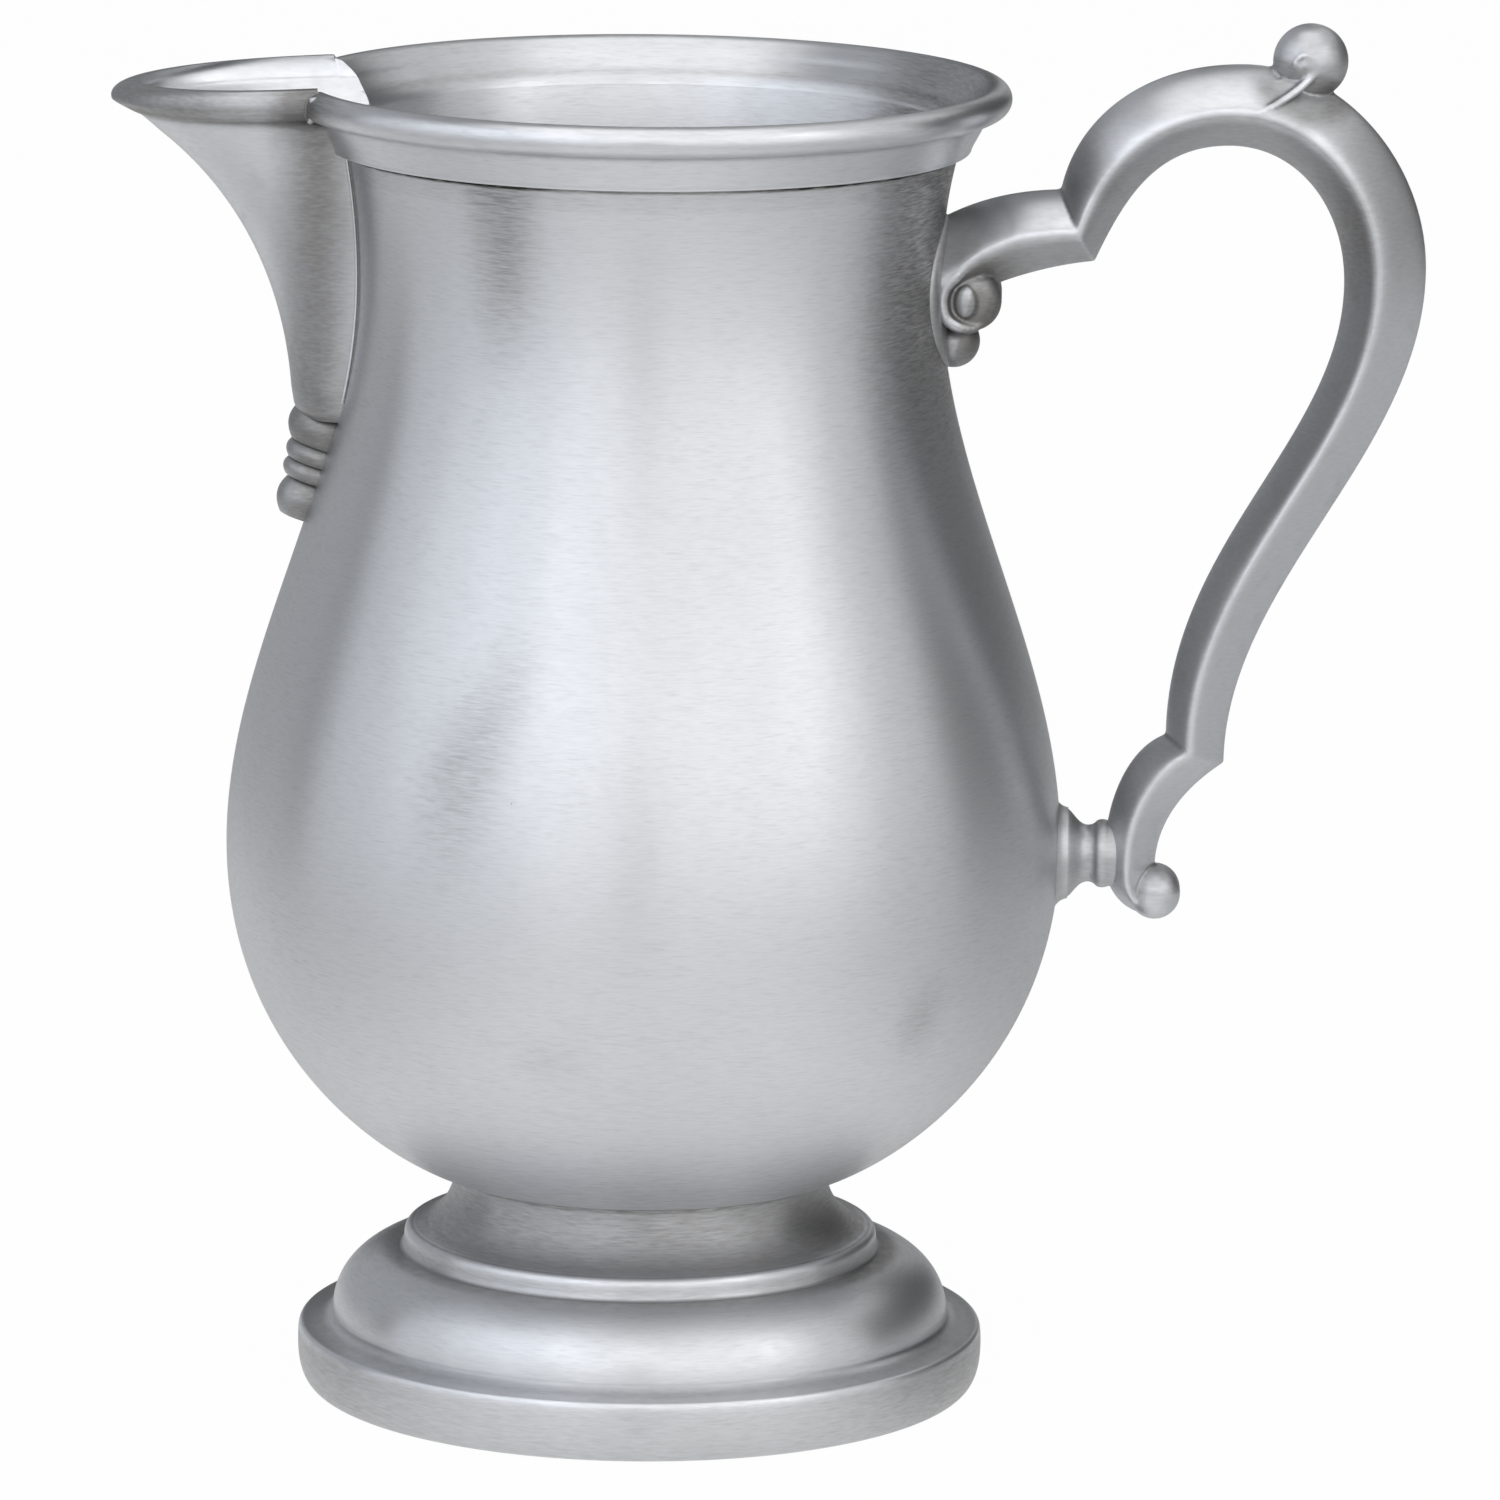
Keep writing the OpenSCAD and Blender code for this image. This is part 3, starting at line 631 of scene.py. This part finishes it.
foot_top = bottom_z(foot_bore) - 0.75
foot_out = np.vstack([
    curve([[25.5, 0], [26.9, 0], [27.4, 1.6], wall_top], 20),
    curve([wall_top, [27.2, 4.8], [27.1, 5], [26.8, 5]], 6)[1:],
    oval([27, 5.9], 2.5, 0.9, 262, 180, 12), oval([19.1, 5.9], 5.4, 5.1, 0, 88, 28)[1:],
    curve([[19.2, 11], [18.9, 11.1], [18.85, 11.7], step_top], 8),
    curve([step_top, [18.7, 12.7], [18.4, 12.8], [17.9, 12.8]], 8)[1:],
    oval([18.7, 17.45], 3.9, 4.7, 262, 180, 28), [[14.8, bottom_z(14.8)]]])
foot_in = np.vstack([
    [[foot_bore, bottom_z(foot_bore)]], oval([17.2, foot_top], 3.9, foot_top - 11.1, 180, 270, 14),
    oval([17.2, 5], 6, 4, 90, 0, 14), [[23.2, 0.3]], [[23.5, 0]]])
foot_loop = np.vstack([foot_out, foot_in, foot_out[:1]])
foot = piece_of("foot", [turned(foot_loop, 0, 2 * math.pi, turns)], 30)
# Each line has a strength, a height and its reach: painted shade in the creases of the cove and at the
# foot of the step, and a dark line in the joint under the body.
foot_creases_and_seam = [(0.4, 5.2, 0.25), (0.8, 11, 0.3), (1.2, 17.3, 0.3)]


def foot_shade_and_seam(x, y, z):
    """Painted shade in the hollow neck, on the step, low on the wall and more so at its sides, and in the
    creases, and a dark line where the foot meets the body.
    """
    aside = x.maths("ARCTAN2", -1 * y).maths("ABSOLUTE").ramp(0.4, 1.2)
    neck_shade = 0.85 * z.ramp(12.5 * MM, 13.2 * MM)
    step_shade = 0.45 * z.near(11.7 * MM, 0.9 * MM)
    wall_shade = (0.35 + 0.35 * aside) * (1 - z.ramp(4 * MM, 5 * MM))
    # all of it painted shade, save the dark line at the joint under the body
    grime = neck_shade + step_shade + wall_shade
    for strength, height, tall in foot_creases_and_seam:
        grime = grime + strength * z.near(height * MM, tall * MM)
    return grime


foot_finish = pewter("foot_pewter", pewter_colour, 0.38, True, foot_shade_and_seam, 0.6, 0.5)
fit(foot, "foot", foot_finish)

# Foot solder: a ring of soft solder that joins the foot to the body.
# It is run in from inside the foot, in the corner under the body, so only a look from below shows it.
ring_in = [12.6, bottom_z(12.6) + 0.1]
ring_out = foot_bore + 0.1
ring_line = np.vstack([curve([ring_in, [12.9, bottom_z(12.9) - 0.1], [13.2, bottom_z(13.2) - 0.4],
                              [ring_out, bottom_z(foot_bore) - 0.7]], 8),
                       [[ring_out, bottom_z(ring_out) + 0.1], ring_in]])
foot_solder = piece_of("foot_solder", [turned(ring_line, 0, 2 * math.pi, 144)])
fit(foot_solder, "foot_solder", solder)

# Handle backplate: a thin oval of cast pewter, bent to the neck and soldered on.
# It spreads the pull of the handle over the wall, and its edge is rounded off.
plate_t = 0.45
plate_z = 88.3
plate_half_wide = 6.2
plate_half_tall = 6
plate_edge = 0.15
plate_flat = 1 - plate_edge
share = np.concatenate([np.linspace(0, plate_flat, 12), 1 - plate_edge * np.linspace(1, 0, 13)[1:] ** 2])
rounding = np.maximum(0, (share - plate_flat) / plate_edge)
lift = plate_t * np.concatenate([np.sqrt(np.maximum(0, 1 - rounding ** 2)), [-0.3]])
share = np.concatenate([share, [1]])
round_plate = np.linspace(0, 2 * math.pi, 121)
plate_y = np.outer(share, plate_half_wide * np.cos(round_plate))
plate_high = plate_z + np.outer(share, plate_half_tall * np.sin(round_plate))
plate_x = np.sqrt((body_r(plate_high) + lift[:, None]) ** 2 - plate_y ** 2)
backplate = piece_of("handle_backplate", [np.stack([plate_x, plate_y, plate_high], 2)], 60)


def dull_skin_and_crease_shade(x, y, z):
    """A dull skin on the small castings beside the body, darker on the backplate, with painted shade in
    the crease between the strut's waist and collar.
    """
    # the middle term is painted shade in the crease of the strut
    return 0.5 + 0.3 * x.near(35.8 * MM, 0.35 * MM) + 0.5 * z.ramp(60 * MM, 80 * MM)


dull_cast = pewter("dull_cast_pewter", (0.64, 0.65, 0.67), 0.4, False, dull_skin_and_crease_shade, 0)
fit(backplate, "handle_backplate", dull_cast)

# Handle: one pewter casting in a double scroll, with a crisp edge down the middle of each side.
# It rises from a volute on the backplate, breaks into a high arch with a ball for the thumb,
# and ends in a lower scroll. It is soldered to the plate above and to the strut below.
upper_z = 87.1
strut_z = 43.45
upper = np.array([body_r(upper_z) + 1, upper_z])
lower = np.array([body_r(strut_z) + 3.7, strut_z])
break_tilt = math.radians(64)
corner_tilt = math.radians(25)
break_top = upper + [8.2, 9.3]
break_low = break_top + 6.2 * np.array([math.cos(break_tilt), -math.sin(break_tilt)])
arch_top = upper + [22.4, 19.35]
arch_low = arch_top - [1, 6.4]
side_out = upper + [36.85, 3.2]
side_in = side_out - [6.4, 1.1]
corner_out = lower + [9.1, 7.5]
corner_in = corner_out + 5.1 * np.array([-math.cos(corner_tilt), math.sin(corner_tilt)])
scroll_out = lower + [3.8, -0.9]
scroll_in = lower - [0.2, 0.45]
scroll_r = 2.05
scroll_end = scroll_out - [0, scroll_r]
arm_top = upper + [-1.7, 6.6]
arm_low = upper + [-1.7, -0.6]


def rise_to(a, b, leaning, pull):
    """A curve that leaves steeply and arrives level."""
    return [a, a + [leaning, pull * (b[1] - a[1])], b - [pull * (b[0] - a[0]), 0], b]


def run_to(a, b, pull):
    """A curve that leaves level and arrives upright."""
    return [a, a + [pull * (b[0] - a[0]), 0], b - [0, pull * (b[1] - a[1])], b]


def ess(a, b, pull_a, pull_b):
    """A curve that leaves and arrives upright, in an S."""
    return [a, a + [0, pull_a * (b[1] - a[1])], b - [0, pull_b * (b[1] - a[1])], b]


outer_rails = [
    [arm_top, arm_top + [3.2, 1.9], break_top - [3.4, 0.1], break_top],
    rise_to(break_top, arch_top, 1.1, 0.56),
    run_to(arch_top, side_out, 0.53), ess(side_out, corner_out, 0.37, 0.37),
    [corner_out, corner_out - [2.9, 2], scroll_out + [0.1, 3.7], scroll_out],
    [scroll_out, scroll_out - [0, 1], scroll_end - [0.2, 0], scroll_end]]
inner_rails = [
    [arm_low, arm_low + [4, 2.4], break_low - [4, 0.4], break_low],
    rise_to(break_low, arch_low, 2.3, 0.55),
    run_to(arch_low, side_in, 0.57), ess(side_in, corner_in, 0.34, 0.43),
    [corner_in, corner_in - [3, 1.1], scroll_in + [-0.1, 4.5], scroll_in],
    [scroll_in, scroll_in - [0, 2.8], scroll_end - [1.9, 2.5], scroll_end + [1.02, -1.78]]]
rail_steps = [24, 36, 44, 56, 24, 16]
depths = [(4.6, 4.6), (4.6, 4.6), (4.6, 4.6), (4.6, 3.6), (3.6, 3.6), (3.6, 1.5)]
rail_out = joined(*(curve(rail, n) for rail, n in zip(outer_rails, rail_steps)))
rail_in = joined(*(curve(rail, n) for rail, n in zip(inner_rails, rail_steps)))
half_depth = joined(*(np.linspace(a, b, n + 1)[:, None] for (a, b), n in zip(depths, rail_steps)))
across = np.linspace(-1, 1, 33)
rail_rows = np.arange(len(rail_in))
edge_share = np.interp(rail_rows, [0, 4, 8, 14, 24, 60, 104, 160, 184, 200],
                       [0.33, 0.36, 0.47, 0.53, 0.48, 0.48, 0.38, 0.4, 0.42, 0.35])
bow_out = np.interp(rail_rows, [0, 40, 70, 100, 160, 184, 200], [1.7, 1.6, 1.35, 1.1, 1.1, 1.2, 1.4])
bow_in = np.interp(rail_rows, [0, 60, 104, 200], [1.6, 1.6, 1.3, 1.35])


def handle_ring(row):
    """A section of the handle: two bowed faces that meet at the side edges, which are rubbed round."""
    inside = rail_in[row]
    outside = rail_out[row]
    side = inside + edge_share[row] * (outside - inside)
    top = side + (outside - side) * (1 - abs(across) ** bow_out[row])[:, None]
    low = side + (inside - side) * (1 - abs(across) ** bow_in[row])[:, None]
    flat = np.vstack([top, low[::-1][1:-1]])
    y = np.concatenate([across, across[::-1][1:-1]]) * half_depth[row]
    width = np.linalg.norm(outside - inside)
    way = (outside - inside) / width
    ring = np.stack([(flat - inside) @ way, y], 1)
    for _ in range(8):
        ring = (np.roll(ring, 1, 0) + 2 * ring + np.roll(ring, -1, 0)) / 4
    along = width * (ring[:, 0] - ring[:, 0].min()) / np.ptp(ring[:, 0])
    flat = inside + along[:, None] * way
    return np.stack([flat[:, 0], ring[:, 1] * half_depth[row] / ring[:, 1].max(), flat[:, 1]], 1)


def ball(middle, y, radius):
    """The sheets of a ball or an egg, with its three half sizes."""
    radius = np.broadcast_to(radius, 3)
    down = np.linspace(0, math.pi, 21)
    turn = np.linspace(0, 2 * math.pi, 41)
    unit = np.stack([np.outer(np.sin(down), np.cos(turn)), np.outer(np.sin(down), np.sin(turn)),
                     np.outer(np.cos(down), np.ones(41))], 2)
    return [np.array([middle[0], y, middle[1]]) + unit * radius]


def roll(middle, half, r, edge):
    """The sheets of a bar across the handle, with its ends rounded by an edge radius."""
    end = np.vstack([[[half, 0]], arc([half - edge, r - edge], edge, 0, 90, 8)])
    line = np.vstack([end, (end * [-1, 1])[::-1]])
    turn = np.linspace(0, 2 * math.pi, 41)
    return [np.stack([middle[0] + np.outer(line[:, 1], np.cos(turn)), np.repeat(line[:, :1], 41, 1),
                      middle[1] + np.outer(line[:, 1], np.sin(turn))], 2)]


def smooth_path(points, steps=12):
    """A smooth path through a few points."""
    points = np.array(points, float)
    ends = np.vstack([2 * points[0] - points[1], points, 2 * points[-1] - points[-2]])
    pull = (ends[2:] - ends[:-2]) / 6
    return joined(*(curve([a, a + u, b - v, b], steps)
                    for a, b, u, v in zip(points, points[1:], pull, pull[1:])))


def fuse(piece, voxel, passes):
    """Melts the overlapping shapes of a casting into one skin."""
    melt = piece.modifiers.new("melt", "REMESH")
    melt.mode = "VOXEL"
    melt.voxel_size = voxel * MM
    ease = piece.modifiers.new("ease", "SMOOTH")
    ease.factor = 0.5
    ease.iterations = passes
    skin = bpy.data.meshes.new_from_object(piece.evaluated_get(bpy.context.evaluated_depsgraph_get()))
    piece.modifiers.clear()
    skin.name = piece.name
    piece.data = skin
    skin.shade_smooth()


volute = np.array([25.35, 87.95])
volute_r = 2.4
volute_half = 4.15
volute_heel = np.array([24, 84.35])
thumb = arch_top + [5.1, 0.33]
handle_sheets = capped([handle_ring(row) for row in rail_rows])
handle_sheets += roll(volute, volute_half, volute_r, 1.5)
handle_sheets += ball(volute_heel, 0, (2.1, 2.6, 2.1))
handle_sheets += ball(thumb, 0, 2.95)
handle_sheets += roll(scroll_end, 3, scroll_r, scroll_r)
curl = smooth_path([[26.8, 4.1, 92.1], [25.2, 4.15, 91], [24.1, 4.15, 90], [23.35, 4.15, 89.1],
                    [23.1, 4.15, 88], [23.4, 4.15, 86.8], [24.3, 4.1, 86.1], [25.5, 3.9, 85.9],
                    [26.4, 3.6, 86.4]])
curl_r = np.interp(np.arange(len(curl)), [0, 24, 72, 96], [0.3, 0.55, 0.5, 0.25])
nub = np.array([24.96, 88.04])
leaf_edge = smooth_path([[43.5, 4.55, 102.9], [46.5, 4.55, 102.98], [48, 4.4, 103.4], [49.3, 3.9, 104.1],
                         [50.5, 3.3, 104.9], [51.5, 2.85, 105.8]])
leaf_rows = np.arange(len(leaf_edge))
leaf_way = np.gradient(leaf_edge, axis=0)
leaf_up = np.stack([-leaf_way[:, 2], np.zeros(len(leaf_way)), leaf_way[:, 0]], 1)
leaf_up /= np.linalg.norm(leaf_up, axis=1)[:, None]
leaf_wide = np.interp(leaf_rows, [0, 24, 36, 60], [0.3, 1.2, 1.5, 0.8])[:, None]
leaf_root = leaf_edge + leaf_wide * (leaf_up - [0, 1.4, 0])
leaf_rings = np.stack([leaf_edge, leaf_root, leaf_root - [0, 1.2, 0], leaf_edge - [0, 1.8, 0]], 1)
leaf_r = np.interp(leaf_rows, [0, 18, 30], [0.15, 0.3, 0.34])
whirl = smooth_path([[51.3, 2.7, 105.6], [52, 2.62, 106.4], [51.7, 2.66, 107.3], [50.8, 2.66, 107.5],
                     [50.3, 2.6, 106.8], [50.8, 2.7, 106.4]])
whirl_r = np.linspace(0.3, 0.2, len(whirl))
whirl_eye = np.array([51, 106.8])
both_hands = np.array([[1, -1, 1], [1, 1, 1]])
for hand in both_hands:
    handle_sheets += tube(curl * hand, curl_r)
    handle_sheets += ball(nub, volute_half * hand[1], (0.85, 0.6, 1.3))
    handle_sheets += capped(leaf_rings * hand)
    handle_sheets += tube((leaf_edge - [0, 0.2, 0]) * hand, leaf_r)
    handle_sheets += tube(whirl * hand, whirl_r)
    handle_sheets += ball(whirl_eye, 2.7 * hand[1], (0.4, 0.25, 0.4))
handle = piece_of("handle", handle_sheets)
fuse(handle, voxel=0.15, passes=5)


def handle_skin_and_shade(x, y, z):
    """Painted shade on the inner faces, round the volute, in the break, on the outer side past the thumb
    ball and round the foot of the thumb ball on each side, and a dull skin on the ball itself."""
    side = x - thumb[0] * MM
    rise = z - thumb[1] * MM
    from_thumb = (side * side + rise * rise).maths("SQRT")
    # painted shade in the hollow under the ridge at the foot of the thumb ball
    hollow_shade = 0.9 * from_thumb.near(3.8 * MM, 1.9 * MM) * (1 - z.ramp(105 * MM, 106.6 * MM))
    off_nub = 1 - 0.5 * y.maths("ABSOLUTE").ramp(4.2 * MM, 4.6 * MM)
    # painted shade round the volute, less on its outermost faces
    volute_shade = 1.5 * off_nub * x.near(25.5 * MM, 5.5 * MM) * z.near(87.5 * MM, 7.5 * MM)
    # painted shade in the break of the arch
    break_shade = 0.8 * x.near(33.5 * MM, 4.5 * MM) * z.ramp(95.5 * MM, 97.5 * MM)
    # painted shade on the outer side of the handle, past the thumb ball
    shoulder_shade = 0.65 * x.ramp(51 * MM, 56 * MM) * z.ramp(84 * MM, 96 * MM)
    on_thumb = 0.35 * (1 - from_thumb.ramp(2.4 * MM, 3.2 * MM))
    normal = x.node("NewGeometry", output="Normal")
    facing_x = x.node("SeparateXYZ", None, {0: normal}, "X")
    facing_z = x.node("SeparateXYZ", None, {0: normal}, "Z")
    # painted shade on the faces that turn inwards, towards the belly
    inward = facing_x * (41 * MM - x) + facing_z * (79 * MM - z)
    return hollow_shade + on_thumb + volute_shade + break_shade + shoulder_shade + 0.6 * inward.ramp(0, 6 * MM)


handle_finish = pewter("handle_pewter", (0.66, 0.67, 0.69), 0.4, False, handle_skin_and_shade, 0.3)
fit(handle, "handle", handle_finish)

# Handle strut: a small turned peg of pewter, with a flange, a waist and a collar.
# It stands the lower scroll off the belly, and is soldered between them.
strut_root = 31.4
strut_end = 37.9
strut_line = np.vstack([
    [[0, strut_root], [3.6, strut_root]],
    curve([[3.6, 33.1], [3.62, 33.5], [3.45, 33.7], [3.15, 33.95]], 8),
    curve([[3.15, 33.95], [2.75, 34.3], [2.3, 34.6], [2.25, 35.15]], 10)[1:],
    curve([[2.25, 35.15], [2.25, 35.5], [2.4, 35.7], [2.5, 35.8]], 8)[1:],
    curve([[2.5, 35.8], [2.75, 35.95], [2.75, 36.5], [2.6, 36.8]], 8)[1:],
    [[2.6, strut_end], [0, strut_end]]])


def turned_on_x(line, z):
    """Rows of points round a level axis that runs out to the handle."""
    upright = turned(line, 0, 2 * math.pi, 96)
    return np.stack([upright[..., 2], upright[..., 1], z - upright[..., 0]], 2)


strut = piece_of("handle_strut", [turned_on_x(strut_line, strut_z)], 40)
fit(strut, "handle_strut", dull_cast)

# Strut solder: a fillet of soft solder round the flange of the strut.
# It is run into the corner where the flange sits on the belly.
fillet_in = 3.3
fillet_out = 4.3
fillet_end = 33.6
fillet_line = np.vstack([[[fillet_in, strut_root], [fillet_out, strut_root]],
                         curve([[fillet_out, 32.6], [3.9, 32.9], [3.7, 33.1], [3.6, fillet_end]], 8),
                         [[fillet_in, fillet_end], [fillet_in, strut_root]]])
strut_solder = piece_of("strut_solder", [turned_on_x(fillet_line, strut_z)])
fit(strut_solder, "strut_solder", solder)

# Floor: a pale seamless sheet that the jug stands on, with a low coved edge far away all round.
# The eye sees it as white. The metal sees it grey, with a bright patch under and before the jug
# and another behind it on the left.
floor_reach = 6000
cove_r = 700
floor_line = joined(np.array([[0, 0], [floor_reach, 0]]), arc([floor_reach, cove_r], cove_r, -90, 0, 12))
floor = piece_of("floor", [turned(floor_line, 0, 2 * math.pi, 96)])
pale = bpy.data.materials.new("pale_floor")
pale.use_nodes = True
pale_tree = pale.node_tree
pale_tree.nodes.remove(pale_tree.nodes["Principled BSDF"])
sheet = Signal(pale_tree)
matt = sheet.node("BsdfDiffuse", None, {"Color": (0.6, 0.6, 0.6, 1)})
white = sheet.node("Emission", None, {"Color": (1, 1, 1, 1), "Strength": 1})
by_eye = sheet.node("LightPath", output="Is Camera Ray")
by_gloss = sheet.node("LightPath", output="Is Glossy Ray")
by_metal = by_gloss + sheet.node("LightPath", output="Is Transmission Ray")


def bright_patch(shift, stretch, full, end):
    """A patch of the sheet, one in its middle and zero past its end."""
    place = sheet.node("TexCoord", output="Object")
    moved = sheet.node("Mapping", None, {"Vector": place, "Location": shift, "Scale": stretch})
    return 1 - sheet.node("VectorMath", {"operation": "LENGTH"}, {0: moved}, "Value").ramp(full, end)


under_jug = bright_patch((0, 0.07, 0), (1.5, 1, 1), 0.04, 0.2)
behind_left = bright_patch((0.15, -0.12, 0), (1, 1, 1), 0.03, 0.2)
by_place = 0.85 * under_jug + 0.5 * behind_left
shown = sheet.node("MixShader", None, {0: 0.98 * by_eye + by_metal * by_place, 1: matt, 2: white})
pale_tree.links.new(shown.socket, pale_tree.nodes["Material Output"].inputs["Surface"])
floor.data.materials.append(pale)

# Light: a row of soft boxes round the front and sides of the jug, three weaker ones behind it,
# one overhead, and a dim grey room.
aim = Vector((0, 0, 0.055))
room_grey = 0.07


def soft_box(name, azimuth, elevation, distance, width, height, level, tint=(1, 1, 1)):
    """A flat lamp that faces the jug, with the brightness of its surface as its level."""
    lamp = bpy.data.lights.new(name, "AREA")
    lamp.shape = "RECTANGLE"
    lamp.size = width
    lamp.size_y = height
    lamp.energy = 4 * level * width * height
    lamp.color = tint
    box = bpy.data.objects.new(name, lamp)
    a = math.radians(azimuth)
    e = math.radians(elevation)
    back = Vector((math.sin(a) * math.cos(e), -math.cos(a) * math.cos(e), math.sin(e)))
    box.location = aim + distance * back
    box.rotation_mode = "QUATERNION"
    box.rotation_quaternion = back.to_track_quat("Z", "Y")
    box.visible_camera = False
    bpy.context.scene.collection.objects.link(box)


plain = (1, 1, 1)
hardly_cool = (0.975, 0.99, 1.02)
cool = (0.95, 0.985, 1.04)
row_raised = 26
row_away = 1.5
row_tall = 1.6
# Each box of the row has a name, its angle from the front, its width, its level and its tint.
front_row = [("key_left", -17, 0.78, 1.11, hardly_cool), ("key_right", 29, 1.5, 1.08, plain),
             ("far_right", 63, 0.42, 0.9, plain), ("side_right", 84, 0.7, 0.6, plain),
             ("side_left", -44, 0.62, 0.92, cool), ("far_left", -66, 0.56, 0.78, cool),
             ("edge_left", -90, 0.75, 0.62, cool)]
for name, azimuth, width, level, tint in front_row:
    soft_box(name, azimuth, row_raised, row_away, width, row_tall, level, tint)
soft_box("fill_left", -140, 25, 1.6, 1.7, 1.6, 0.28, cool)
soft_box("rim_right", 170, 20, 1.6, 0.4, 1.2, 0.3)
soft_box("back_right", 130, 47, 1.5, 1.1, 0.8, 0.56)
soft_box("overhead", 0, 86, 1.5, 1.5, 1.3, 1.15)
world = bpy.data.worlds.new("room")
world.use_nodes = True
world.node_tree.nodes["Background"].inputs["Color"].default_value = (room_grey, room_grey, room_grey, 1)
bpy.context.scene.world = world

# Camera: a long lens in front of the jug and above its rim, which looks a little down on it.
# Its place, aim and tilt are those of the photograph.
lens_pixels = 10651
picture_width = 1500
film_width = 36
stand_away = 0.8262
stand_height = 0.2157
stand_turn = 2
aim_aside = 0.58
stand = math.radians(stand_turn)
yaw = math.radians(stand_turn - aim_aside)
pitch = math.radians(11.254)
tilt = math.radians(0.585)
ahead = Vector((-math.sin(yaw) * math.cos(pitch), math.cos(yaw) * math.cos(pitch), -math.sin(pitch)))
level_right = Vector((math.cos(yaw), math.sin(yaw), 0))
level_up = level_right.cross(ahead)
right = math.cos(tilt) * level_right + math.sin(tilt) * level_up
up = math.cos(tilt) * level_up - math.sin(tilt) * level_right
camera = bpy.data.objects.new("camera", bpy.data.cameras.new("camera"))
camera.data.sensor_width = film_width
camera.data.lens = lens_pixels * film_width / picture_width
camera.data.clip_end = 20
camera.matrix_world = Matrix((right, up, -ahead)).transposed().to_4x4()
camera.location = (stand_away * math.sin(stand), -stand_away * math.cos(stand), stand_height)
bpy.context.scene.collection.objects.link(camera)
bpy.context.scene.camera = camera
bpy.context.scene.view_settings.view_transform = "Standard"
